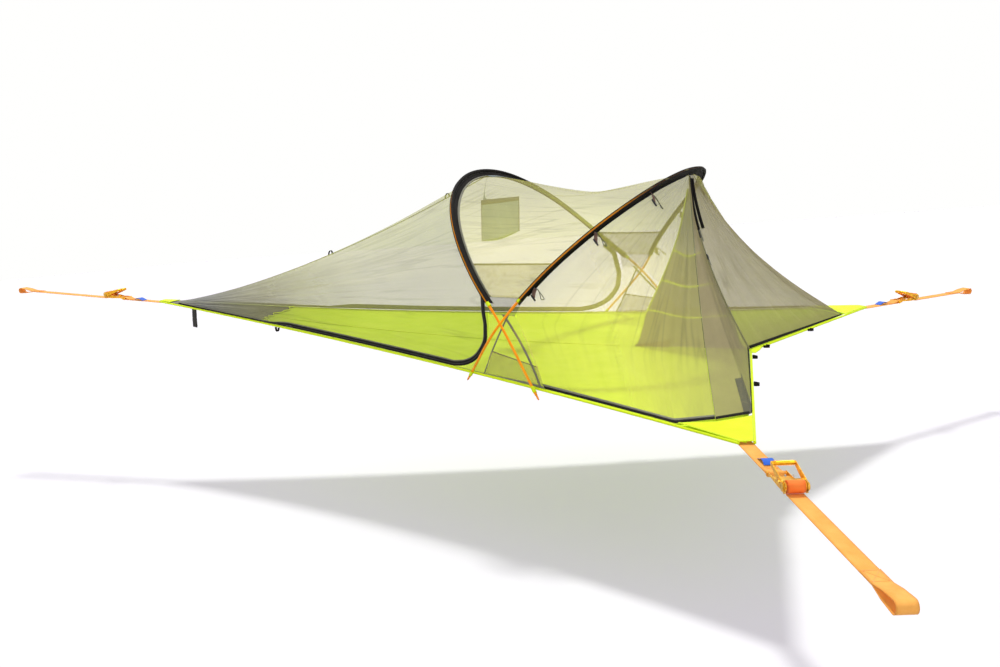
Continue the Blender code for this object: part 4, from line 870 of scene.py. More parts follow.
@dataclass(frozen=True)
class Walls:
    """Shapes of the mesh walls, all of the near side; sizes in metres."""

    toe: float = 0.110
    door_corner: float = -0.300
    door_edge: float = -0.088
    apex_x: float = 0.030
    apex: float = 0.240
    kick_foot: float = 0.225
    cut_x: float = 0.840
    ridge_back: tuple = (0.155, 0.200)
    ridge_sag: float = 0.090
    tip_sag: float = 0.085
    roof_sag: float = 0.085
    fold: float = 0.006
    folds: int = 6
    gap: float = 0.0026
    zip_width: float = 0.024
    edge_shares: tuple = ((0.0, 0.0), (0.31, 0.06), (0.50, 0.13), (0.66, 0.22), (0.82, 0.37), (0.94, 0.54))
    edge_top: tuple = (1.0, 0.85)

    def low_wall(self, x: float, height: float) -> Vector:
        """A point of the low upright wall between the near hem and the crossing."""
        foot = PLAN.near(PLAN.share_at(x), *PLAN.sill)
        head = TIP_ARCH.point(TIP_ARCH.first, Arch.SEAM_DEPTH)
        share = height / self.apex
        return Vector((x, lerp(foot.y, head.y, share), lerp(foot.z, self.apex, share)))

    def low(self, u: float, v: float) -> Vector:
        """The low wall: u along the hem from the door's corner, v up to the crossing's height."""
        x = lerp(self.door_corner, self.kick_foot, u)
        if x < self.door_edge:
            place = self.side_place(x, v * self.apex)
            return self.side(place.x, place.y)
        return self.low_wall(x, v * self.apex)

    def low_share(self, x: float) -> float:
        """The low wall's u at an X."""
        return (x - self.door_corner) / (self.kick_foot - self.door_corner)

    @cached_property
    def profile(self) -> Points:
        """The line from the near hem up the low wall and up the tip sleeve to the ridge."""
        wall = [self.low_wall(self.door_edge, h) for h in (0.0, self.edge_top[1] * self.apex)]
        seam = TIP_ARCH.seam(Arch.SEAM_SHIFT, TIP_ARCH.first + 1.2, Arch.STATIONS, 97)
        seam[-1].y = -PLAN.cloth / 2
        return resampled(wall + seam, 241)

    @cached_property
    def side(self) -> Surface:
        """From the tip corner to the tip arch: the arch's height profile, shrunk to the tip."""
        toe_x = self.toe - PLAN.tip_reach
        toe = PLAN.near(PLAN.share_at(toe_x), *PLAN.sill)
        head = Vector((toe_x, -PLAN.cloth / 2, toe.z + PLAN.cloth))
        low, high = self.profile[0], self.profile[-1]
        bottom = PLAN.sill_line(toe_x, self.door_edge, 121)
        bottom[-1] = low
        top = sagging(head, high, self.tip_sag, 121, 0.9)

        def surface(u: float, v: float) -> Vector:
            """u from the tip to the arch, v from the hem to the ridge."""
            place, foot, top_place = at(self.profile, v), at(bottom, u), at(top, u)
            shares = [(place[i] - low[i]) / (high[i] - low[i]) for i in range(3)]
            return Vector([lerp(foot[i], top_place[i], shares[i]) for i in range(3)])

        return surface

    def side_place(self, x: float, height: float) -> Vector:
        """Where a place low on the wall lies on the side surface, as its u and v."""
        start = PLAN.share_at(self.toe - PLAN.tip_reach)
        end = PLAN.share_at(self.door_edge)
        step = (self.profile[1] - self.profile[0]).length
        rise = (self.profile[1].z - self.profile[0].z) / step
        length = step * (len(self.profile) - 1)
        return Vector(((PLAN.share_at(x) - start) / (end - start), height / rise / length, 0))

    @cached_property
    def edge(self) -> Points:
        """The door's edge as places on the side surface: along its corner, then up the arch."""
        corner = [
            self.side_place(lerp(self.door_corner, self.door_edge, run), rise * self.apex)
            for run, rise in self.edge_shares + (self.edge_top,)
        ]
        curve = along(corner, 36)
        curve[-1] = corner[-1]
        return curve + [Vector((1.0, lerp(corner[-1].y, 1.0, i / 66), 0)) for i in range(1, 67)]

    def door(self, u: float, v: float) -> Vector:
        """The door's cloth, with shallow folds that fan out from the tip."""
        place = at(self.edge, self.edge_place(v))
        u = 1.0 - (1.0 - u) ** 1.4
        point = self.side(u * place.x, lerp(v, place.y, u))
        swell = math.sin(math.pi * v) ** 2 * math.sin(math.pi * u) ** 2
        point.z += self.fold * swell * math.sin(self.folds * math.pi * v)
        return point

    def edge_place(self, v: float) -> float:
        """How far along the edge's points the door's row v ends: a third of the rows are the corner."""
        corner = 6 / 17
        turn = 35 / 101
        return v / corner * turn if v < corner else lerp(turn, 1.0, (v - corner) / (1 - corner))

    def kick(self, u: float, v: float) -> Vector:
        """The kick panel, u from the door's edge to the side wall and v from the hem up."""
        run, rise, _ = at(self.kick_edge, v)
        start = lerp(self.door_corner, self.door_edge, min(run, 1.0)) + self.gap
        x = lerp(start, lerp(self.kick_foot, self.apex_x, min(rise, 1.0)), u)
        return self.low(self.low_share(x), rise)

    @cached_property
    def kick_edge(self) -> Points:
        """The kick panel's edge beside the door, as shares of its run and rise."""
        shares = self.edge_shares + (self.edge_top, (1.0, 1.0))
        return along([Vector((run, rise, 0)) for run, rise in shares], 61)

    @cached_property
    def ridge(self) -> Points:
        """The seam between the side wall and the end wall, from the corner up to the wide arch."""
        head = WIDE_ARCH.point(Arch.STATIONS - 0.6, Arch.SEAM_DEPTH, -Arch.SEAM_SHIFT)
        line = sagging(head, self.ridge_foot, self.ridge_sag, 97, 0.9)
        line.reverse()
        return line

    @property
    def ridge_foot(self) -> Vector:
        """Where the ridge of the wide end comes down near the corner."""
        back, in_from_side = self.ridge_back
        return Vector((PLAN.corner_reach - back, in_from_side - PLAN.half_edge, PLAN.sill[1]))

    @cached_property
    def side_wall(self) -> Surface:
        """The wall from the kick panel to the ridge of the wide end."""
        shift = Vector((self.gap, 0, 0))
        foot = self.low_wall(self.kick_foot, 0.0) + shift
        apex = self.low_wall(self.apex_x, self.apex) + shift
        top = Arch.STATIONS - 1.4
        seam = WIDE_ARCH.seam(-Arch.SEAM_SHIFT, WIDE_ARCH.first + 0.35, top, 97)
        start = resampled([foot, apex] + seam, 97)
        cut = PLAN.near(PLAN.share_at(self.cut_x), *PLAN.sill)
        bottom = PLAN.sill_line(foot.x, self.cut_x, 49) + [lerp(cut, self.ridge_foot, 0.5), self.ridge_foot]
        bottom = resampled(bottom, 97)
        bottom[0] = start[0]
        return loft(start, self.ridge, bottom, resampled([start[-1], self.ridge[-1]], 17))

    @cached_property
    def zip_line(self) -> Points:
        """The end wall's middle line, from the pulled-in hem up to the head of the wide arch."""
        head = WIDE_ARCH.point(Arch.STATIONS, Arch.SLEEVE_DEPTH)
        foot = PLAN.middle + Vector((-PLAN.radius - PLAN.reach, 0, PLAN.sill[1]))
        high = head.z - Arch.SEAM_SHIFT
        return line_of(lambda s: Vector((lerp(head.x, foot.x, (1 - s) ** 1.6), 0, lerp(foot.z, high, s))), 96)

    @cached_property
    def end_wall(self) -> Surface:
        """The end wall, from the ridge to the end zip."""
        ridge = [p + Vector((self.gap, 0, 0)) for p in self.ridge]
        beside = Vector((0, -self.zip_width / 2 - PLAN.reach, 0))
        zip_edge = [p + beside for p in self.zip_line]
        sill = PLAN.short(PLAN.radius + PLAN.reach, PLAN.sill[1])[:3]
        bottom = resampled([ridge[0], sill[0].lerp(sill[1], 0.46), sill[1], zip_edge[0]], 97)
        return loft(ridge, zip_edge, bottom, resampled([ridge[-1], zip_edge[-1]], 17))

    @cached_property
    def roof(self) -> Surface:
        """The roof's saddle over both arches, from one crossing to the other."""
        count = 193
        shift = Arch.SEAM_SHIFT + 0.00015
        start = TIP_ARCH.seam(-shift, TIP_ARCH.first + 0.7, TIP_ARCH.last - 0.7, count)
        end = WIDE_ARCH.seam(shift, WIDE_ARCH.first + 0.7, WIDE_ARCH.last - 0.7, count)
        widest = (start[count // 2] - end[count // 2]).length

        def surface(u: float, v: float) -> Vector:
            """u from the tip arch to the wide arch, v from the near crossing to the far one."""
            a, b = at(start, v), at(end, v)
            point = lerp(a, b, u)
            sag = self.roof_sag * ((a - b).length / widest) ** 2
            return point + (HUB - point).normalized() * sag * 4 * u * (1 - u)

        return surface


WALLS = Walls()


def patch(surface: Surface, us: tuple[float, float], vs: tuple[float, float]) -> Surface:
    """The part of a surface between two values of u and two of v."""
    return lambda u, v: surface(lerp(us[0], us[1], u), lerp(vs[0], vs[1], v))


def sewn(surface: Surface, path: tuple, inward: tuple, start: float, width: float) -> Surface:
    """A tape of even width that follows a straight path of u and v on a wall.

    Args:
        surface: the wall.
        path: the u and v of the tape's two ends.
        inward: the way across the tape, as a small step of u and v.
        start: how far in from the path the tape begins.
        width: the tape's width.

    Returns:
        The tape's surface, u along it and v across it.
    """

    def tape(u: float, v: float) -> Vector:
        """u along the path and v in from it."""
        a, b = (lerp(first, last, u) for first, last in zip(*path))
        step = (surface(a + inward[0], b + inward[1]) - surface(a, b)).length
        reach = (start + width * v) / step
        return surface(a + inward[0] * reach, b + inward[1] * reach)

    return tape


def stitches(points: Points, radius: float = 0.0006, pitch: float = 0.007) -> Mesh:
    """A line of lockstitch: a thread that swells and dips once to each stitch."""
    count = max(2, round(length_of(points) / pitch))
    swell = [0.45, 0.9, 1.0, 0.9]
    return tube(resampled(points, count * 4 + 1), lambda s: radius * swell[round(s * count * 4) % 4], 6)


@dataclass(frozen=True)
class Tape:
    """One kind of tape: its finish, width, height over the wall and thickness, in metres."""

    finish: Finish
    width: float
    lift: float = 0.0016
    thickness: float = 0.0009

    def sew(self, name: str, side: Side, surface: Surface, path, inward, start: float, columns: int) -> None:
        """Make the tape along a path on one side's wall.

        Args:
            name: the piece's name after the side's word.
            side: which side of the tent.
            surface: the near side's wall.
            path: the u and v of the tape's two ends on the wall.
            inward: the way across the tape, as a small step of u and v.
            start: how far in from the path it begins.
            columns: faces along it.
        """
        tape = mirror(sewn(surface, path, inward, start, self.width), side)
        length = length_of(line_of(lambda share: tape(share, 0.5), 24))
        bm = grid(tape, columns, 2, (length, self.width), lift=self.lift)
        finished(f"{side.word}_{name}", thickened(bm, self.thickness), self.finish).on(TENT, "zip")


BLACK_TAPE = Tape(Finish.TAPE, 0.013)
GREY = Tape(Finish.GREY_TAPE, 0.010)
BINDING = Tape(Finish.GREY_TAPE, 0.008, 0.0012)
DARK_BINDING = Tape(Finish.TAPE, 0.009, 0.0012)
FACING = Tape(Finish.FACING, 0.034, 0.0012)
LEG = Tape(Finish.GREY_TAPE, 0.013, 0.0020)


@dataclass(frozen=True)
class Floor:
    """The floor's cloth between the hems, with its centre seam; sizes in metres."""

    inset: float = 0.0055
    sag: float = 0.030
    thickness: float = 0.0012
    seam_width: float = 0.016
    seam_start: float = -2.40
    toe_reach: tuple = (0.236, 0.208)
    toe_uneven: float = 0.014

    @cached_property
    def edges(self) -> tuple[Points, Points, Points, Points]:
        """The near, far, tip and short edges of the cloth."""
        near = line_of(lambda share: PLAN.near(share, self.inset), 80)
        end_line = PLAN.short(self.inset)
        near[0] = near[0] + Vector((self.inset, 0, 0))
        start = resampled([near[0], mirrored(near[0])], 17)
        corner = near[-1].lerp(end_line[0], 0.5)
        near[-1] = corner
        near = resampled(near, 81)
        end_points = [corner] + end_line[1:-1] + [mirrored(corner)]
        end_points = resampled(end_points[:3], 17)[:-1] + resampled(end_points[2:], 17)
        return near, [mirrored(p) for p in near], start, end_points

    def surface(self, u: float, v: float) -> Vector:
        """u from the tip to the short edge, v from the near hem to the far hem."""
        near, far, start, end = self.edges
        ruled = lerp(at(near, u), at(far, u), v)
        sides = at(start, v) * (1 - u) + at(end, v) * u
        corners = lerp(near[0], far[0], v) * (1 - u) + lerp(near[-1], far[-1], v) * u
        point = ruled + sides - corners
        point.z -= self.sag * (16 * u * (1 - u) * v * (1 - v)) ** 1.5
        return point

    def place(self, x: float) -> float:
        """The u at which the floor's middle line has this X."""
        return solved(lambda u: self.surface(u, 0.5).x, x, steps=20)

    def build(self) -> None:
        """Make the cloth and its centre seam."""
        bm = grid(self.surface, 132, 72, relief=creases(3.0, 9.0, 5.0, 0.004))
        cloth = finished("floor_cloth_panel", thickened(bm, self.thickness), Finish.FLOOR)
        cloth.on(TENT, "floor", "floor").sheet(self.surface, ("near_hem", "far_hem", "end_hem"), thick=True)
        path = ((self.place(self.seam_start), 0.5), (0.995, 0.5))
        tape = sewn(self.surface, path, (0.0, 0.004), -self.seam_width / 2, self.seam_width)
        for name, lift in (("under", 0.0016), ("inside", -0.0028)):
            bm = grid(tape, 120, 2, (3.2, self.seam_width), creases(3.0, 9.0, 5.0, 0.0), lift)
            finished(f"floor_seam_tape_{name}", thickened(bm, 0.0008), Finish.HEM).on(TENT, "hem")
        toe = thickened(grid(self.toe, 30, 12, lift=-0.0046), 0.0006)
        cloth = finished("tip_floor_cloth", toe, Finish.TOE_CLOTH).on(TENT, "dark_mesh")
        cloth.sheet(self.toe, ("floor",), thick=True)
        edge = line_of(lambda v: self.toe(1.0, v) + Vector((0, 0, 0.008)), 60)
        finished("tip_floor_edge", tube(edge, 0.0032, 8), Finish.HEM).on(TENT, "hem")

    def toe(self, u: float, v: float) -> Vector:
        """The grey cloth over the floor's tip, with its uneven edge: u from the tip, v across."""
        reach = lerp(self.toe_reach[0], self.toe_reach[1], v)
        reach += self.toe_uneven * noise.noise(Vector((v * 9, 2, 0)))
        return self.surface(lerp(0.012, reach, u), lerp(0.012, 0.988, v))


@dataclass(frozen=True)
class Hems:
    """The corded hems with their stitching and the cloth at the corners; sizes in metres."""

    setback: float = 0.012
    middle_width: float = 0.020
    patch_rise: float = 0.0053
    thickness: float = 0.0018
    rounding: float = 0.0006
    rim: float = 0.045
    pucker: float = 0.05
    puckers: tuple = (160, 900)
    stitch_place: tuple = (0.0055, 0.0022)

    def cord(self, name: str, points: Points, node: str, seed: float) -> None:
        """One hem: cloth drawn round its cord."""

        def radius(share: float) -> float:
            """The hem's radius, which puckers a little all along."""
            rough, even = (share * count for count in self.puckers)
            ripple = noise.noise(Vector((rough, seed, 0))) + 0.5 * math.sin(even)
            return PLAN.radius * (1 + self.pucker * ripple)

        finished(name, tube(points, radius, 14, 420), Finish.HEM).on(TENT, "hem", node)

    def flap(self, name: str, outline: Points, node: str) -> None:
        """A flat patch of cloth with a rounded rim, stitched along its edge."""
        bm = bmesh.new()
        centre = sum(outline, Vector()) / len(outline)
        ring = [bm.verts.new((p.x, p.y, self.patch_rise)) for p in outline]
        face = bm.faces.new(ring)
        if face.normal.z < 0:
            face.normal_flip()
        extruded = bmesh.ops.extrude_face_region(bm, geom=[face])["geom"]
        moved = [g for g in extruded if isinstance(g, bmesh.types.BMVert)]
        bmesh.ops.translate(bm, verts=moved, vec=(0, 0, self.thickness))
        bmesh.ops.recalc_face_normals(bm, faces=bm.faces)
        rounded(bm, self.rounding)
        layer = bm.loops.layers.uv.new("UVMap")
        for face in bm.faces:
            for loop in face.loops:
                loop[layer].uv = (loop.vert.co.x, loop.vert.co.y)
        finished(name, bm, Finish.HEM, shaded=False).on(TENT, "hem", node)
        rim = [lerp(p, centre, self.rim) for p in outline + outline[:1]]
        rim = [Vector((p.x, p.y, self.patch_rise + self.thickness)) for p in rim]
        finished(name + "_stitching", stitches(rim, 0.0005), Finish.DARK_THREAD).on(TENT, "hem")

    def build(self) -> None:
        """Make the three hems and the four patches."""
        near = line_of(PLAN.near, 96)
        self.cord("near_hem_cord_sleeve", near, "near_hem", 1.0)
        self.cord("far_hem_cord_sleeve", [mirrored(p) for p in near], "far_hem", 2.0)
        self.cord("short_hem_cord_sleeve", PLAN.short(), "end_hem", 3.0)
        for side in Side:
            line = line_of(lambda share: side.of(PLAN.near(share, *self.stitch_place)), 120)
            finished(f"{side.word}_hem_stitching", stitches(line), Finish.DARK_THREAD).on(TENT, "hem")
        inner = PLAN.near(PLAN.share_at(WALLS.toe - self.setback - PLAN.tip_reach))
        start, end = PLAN.ends
        self.flap("tip_corner_cloth", [mirrored(start), start, inner, mirrored(inner)], "tip_patch")
        along_near = PLAN.near(PLAN.share_at(WALLS.cut_x + self.setback))
        outwards = Vector((math.cos(PLAN.angle), -math.sin(PLAN.angle), 0))
        ridge = WALLS.ridge_foot + outwards * self.setback * 2
        sill = PLAN.short()[0]
        along_end = lerp(sill, PLAN.middle, 0.46 / 2 - self.setback)
        outline = [end, sill, along_end, ridge, along_near]
        for side in Side:
            shape = [side.of(p) for p in outline]
            self.flap(f"{side.word}_corner_cloth", shape, f"{side.word}_corner_patch")
        near_side = lerp(PLAN.middle, sill, 0.05)
        outside = Vector((self.middle_width, 0, 0))
        outline = [PLAN.middle, near_side, near_side + outside, PLAN.middle + outside * 2]
        outline += [mirrored(near_side) + outside, mirrored(near_side)]
        self.flap("short_edge_cloth", outline, "short_edge_patch")


@dataclass(frozen=True)
class PoleSet:
    """One bent pole with its sleeve, foot tabs and ties; sizes in metres."""

    arch: Arch
    tip_radius: float = 0.0040
    tip_length: float = 0.022
    ferrule_length: float = 0.048
    ferrule_radius: float = 0.0056
    sections: int = 8
    wrap: float = 0.0071
    cloth: float = 0.0012
    tab_length: float = 0.026
    tab_rise: float = 0.012
    tie_length: float = 0.022
    tie_depth: float = 0.018
    end_cap: float = 0.014
    girth: float = 0.045
    slit: float = 0.12
    gather: float = 0.0014
    rib: float = 0.0003
    over: float = 0.0006
    fold_turns: tuple = ((0.02, 0.41), (0.59, 0.98))
    rim: float = 0.0011
    seam_depths: tuple = (0.0105, 0.036)
    thread: float = 0.0005
    clip: tuple = (0.014, 0.0035, 0.006)
    clip_place: tuple = (0.0125, 0.0025)

    def pole(self) -> None:
        """The lacquered tube, its ferrules and the bare tips that stand in the foot tabs."""
        name, points = self.arch.name, self.arch.points
        tube_mesh = tube(points, Arch.RADIUS, 16, 256)
        finished(f"{name}_pole_tube", tube_mesh, Finish.POLE).on(TENT, "pole", f"{name}_pole")
        fittings = []
        for end, tangent in ((points[0], -self.arch.tangents[0]), (points[-1], self.arch.tangents[-1])):
            line = [end - tangent * 0.004, end, end + tangent * self.tip_length]
            fittings.append(tube(resampled(line, 9), lambda s: self.tip_radius * (1 - 0.3 * s**6), 16))
        reach = self.ferrule_length / self.arch.spacing
        for i in range(1, self.sections):
            start = Arch.STATIONS * 2 * i / self.sections
            fittings.append(tube(self.arch.line(start, start + reach, 8), self.ferrule_radius, 16))
        finished(f"{name}_pole_ferrules", together(fittings), Finish.FERRULE).on(TENT, "pole")

    def band(self, start: float, end: float, near: float, far: float) -> Surface:
        """Flat cloth inside the pole, from one place along it to another and between two depths."""
        return lambda u, v: self.arch.point(lerp(start, end, u), lerp(near, far, v))

    def seams(self, start: float, end: float, steps: int, depth: float, shift: float, pitch: float) -> list:
        """Two lines of stitching along the flange, one on each of its sides."""
        lines = (self.arch.line(start, end, steps, depth, way * shift) for way in (-1, 1))
        return [stitches(line, self.thread, pitch) for line in lines]

    def channel(self, start: float, end: float, radius: float) -> Surface:
        """Cloth round the pole, from one side of the flange round to the other, gathered at the flange."""

        def surface(u: float, v: float) -> Vector:
            """u along the pole and v round it."""
            angle = lerp(self.slit, 2 * math.pi - self.slit, v)
            deep = radius * math.cos(angle) + self.gather * max(math.cos(angle), 0.0) ** 8
            return self.arch.point(lerp(start, end, u), deep, radius * math.sin(angle))

        return surface

    def sleeve(self) -> None:
        """The black sleeve: a mesh channel round the pole, two folds and the ribbed flange inside it."""
        name, start, end = self.arch.name, self.arch.first, self.arch.last
        length = (end - start) * self.arch.spacing
        flange = self.band(start, end, self.wrap, Arch.SLEEVE_DEPTH)
        bm = grid(flange, 260, 4, (length, Arch.SLEEVE_DEPTH))
        for vert in bm.verts:
            vert.co += vert.normal * self.rib * noise.noise(vert.co * 45)
        piece = finished(f"{name}_sleeve_flange", thickened(bm, self.cloth), Finish.SLEEVE)
        piece.on(TENT, "sleeve", f"{name}_sleeve").sheet(flange, (f"{name}_pole",), thick=True)
        bm = grid(self.channel(start, end, self.wrap), 260, 14, (length, self.girth))
        finished(f"{name}_sleeve_channel", bm, Finish.CHANNEL).on(TENT, "sleeve")
        for i, turn in enumerate(self.fold_turns):
            fold = patch(self.channel(start, end, self.wrap + self.over), (0, 1), turn)
            bm = thickened(grid(fold, 260, 6, (length, 0.016)), self.cloth)
            finished(f"{name}_sleeve_fold_{i + 1}", bm, Finish.SLEEVE).on(TENT, "sleeve")
        rim = self.arch.line(start, end, 160, Arch.SLEEVE_DEPTH)
        finished(f"{name}_sleeve_rim", tube(rim, self.rim, 8), Finish.TAPE).on(TENT, "sleeve")
        lines = []
        for depth in self.seam_depths:
            lines += self.seams(start, end, 320, depth, self.cloth * 0.62, 0.006)
        finished(f"{name}_sleeve_stitching", together(lines), Finish.DARK_THREAD).on(TENT, "sleeve")

    def wrapped(self, name: str, start: float, end: float, reach: float, node: str) -> None:
        """A green tab: cloth round the pole with a flange that reaches inwards."""
        width = abs(end - start) * self.arch.spacing
        loop = grid(self.channel(start, end, self.wrap), 6, 24, (width, self.girth))
        flange = grid(self.band(start, end, self.wrap, reach), 6, 6, (width, reach))
        cloth = together([thickened(loop, self.cloth * 0.8), thickened(flange, self.cloth)])
        finished(name, cloth, Finish.HEM).on(TENT, "hem", node)
        inner, outer = lerp(start, end, 0.12), lerp(start, end, 0.88)
        lines = self.seams(inner, outer, 8, lerp(self.wrap, reach, 0.35), 0.0008, 0.004)
        finished(name + "_stitching", together(lines), Finish.DARK_THREAD).on(TENT, "hem")

    @staticmethod
    def both_ends(low: float, high: float) -> tuple:
        """Each end's word with the stretch between two places that are counted from that end."""
        whole = Arch.STATIONS * 2
        return ("near", low, high), ("far", whole - high, whole - low)

    def tabs(self) -> None:
        """The green tabs that hold the pole's feet to the hems, each as deep as its hem lets it be."""
        low = self.tab_rise / self.arch.spacing
        high = low + self.tab_length / self.arch.spacing
        depth, step = self.wrap, 0.0003
        wanted = PLAN.radius + self.cloth / 2 + 0.00125
        while depth < Arch.SLEEVE_DEPTH:
            ends = [self.arch.point(place, depth + step) for place in (low, (low + high) / 2, high)]
            if min((end - PLAN.near(PLAN.share_at(end.x))).length for end in ends) < wanted:
                break
            depth += step
        for word, start, end in self.both_ends(low, high):
            name = f"{self.arch.name}_pole_{word}_foot"
            self.wrapped(name + "_loop", start, end, depth, name + "_tab")

    def ties(self) -> None:
        """The green ties under the tip sleeve's ends, each with its black clip."""
        high = self.arch.first - 0.0005 / self.arch.spacing
        low = high - self.tie_length / self.arch.spacing
        for word, start, end in self.both_ends(low, high):
            self.wrapped(f"{word}_crossing_loop", start, end, self.tie_depth, f"{word}_crossing_tie")
            place = self.arch.point((start + end) / 2, *self.clip_place)
            matrix = Matrix.Translation(place) @ Matrix.Rotation(0.5, 4, "Y")
            clip = block(self.clip, matrix, 0.0008)
            finished(f"{word}_crossing_clip", clip, Finish.PLASTIC).on(TENT, "slider")

    def end_caps(self) -> None:
        """Short green bindings on the wide sleeve's ends."""
        first, width = self.arch.first, self.end_cap
        for word, start, end in self.both_ends(first, first + width / self.arch.spacing):
            cloth = grid(self.channel(start, end, self.wrap + 0.0007), 4, 24, (width, 0.05))
            finished(f"{word}_wide_sleeve_binding", thickened(cloth, 0.0008), Finish.HEM).on(TENT, "hem")

    def build(self) -> None:
        """Make everything on this pole."""
        self.pole()
        self.sleeve()
        self.tabs()
        if self.arch is TIP_ARCH:
            self.ties()
        else:
            self.end_caps()


@dataclass(frozen=True)
class MeshWalls:
    """The see-through walls of both sides and the roof."""

    fold: float = 0.006

    def panel(
        self,
        name: str,
        shape: Surface,
        cells: tuple[int, int],
        folds: tuple[float, float, float],
        finish: Finish,
        nodes: Sequence[str],
        holders: Sequence[str],
    ) -> None:
        """One panel of netting, with its tension folds.

        Args:
            name: the piece's name.
            shape: the wall that it covers.
            cells: its faces along u and along v.
            folds: the seed of its folds and how many run each way.
            finish: its netting.
            nodes: what it stands for in the frame.
            holders: the nodes or pieces that hold it.
        """
        size = (
            length_of(line_of(lambda u: shape(u, 0.5), 16)),
            length_of(line_of(lambda v: shape(0.5, v), 16)),
        )
        bm = grid(shape, *cells, size, creases(*folds, self.fold))
        finished(name, bm, finish).on(TENT, "mesh", *nodes).sheet(shape, holders)

    @staticmethod
    def gusset(u: float, v: float) -> Vector:
        """The small panel between the sleeves' ends, from the crossed tapes up to the roof."""
        foot = WALLS.low_wall(lerp(-0.086, 0.030, u), WALLS.apex - 0.004)
        return lerp(foot, WALLS.roof(u, 0.004), v)

    def side_panels(self, word: str, seed: float) -> tuple:
        """Each side panel's name, wall, cells, folds, netting, node and holders."""
        hem, kick = f"{word}_hem", f"{word}_kick_panel"
        over, end = ("roof", kick), ("end_hem", "wide_sleeve", "end_zip")
        return (
            ("door_panel", WALLS.door, (96, 84), (seed, 1.6, 17.0), Finish.MESH, "door", (hem, "tip_sleeve")),
            ("low_panel", WALLS.kick, (32, 36), (seed + 2, 3.0, 3.0), Finish.KICK_MESH, "kick_panel", (hem,)),
            # The side panel's netting is painted light.
            (
                "side_panel",
                WALLS.side_wall,
                (96, 56),
                (seed + 4, 20.0, 1.6),
                Finish.PALE_MESH,
                "side_wall",
                (hem, "wide_sleeve"),
            ),
            # The end panel's netting is painted shade.
            ("end_panel", WALLS.end_wall, (84, 56), (seed + 6, 18.0, 1.4), Finish.DULL_MESH, "end_wall", end),
            ("crossing_gusset", self.gusset, (10, 8), (seed, 2.0, 2.0), Finish.POCKET_MESH, "", over),
        )

    def build(self) -> None:
        """Make every panel."""
        for side in Side:
            for name, shape, *rest, node, holders in self.side_panels(side.word, 7.0 + side.value):
                nodes = (f"{side.word}_{node}",) if node else ()
                self.panel(f"{side.word}_{name}", mirror(shape, side), *rest, nodes, holders)
        sleeves, folds = ("tip_sleeve", "wide_sleeve"), (1.0, 1.6, 26.0)
        self.panel("roof_panel", WALLS.roof, (40, 160), folds, Finish.ROOF_MESH, ("roof",), sleeves)


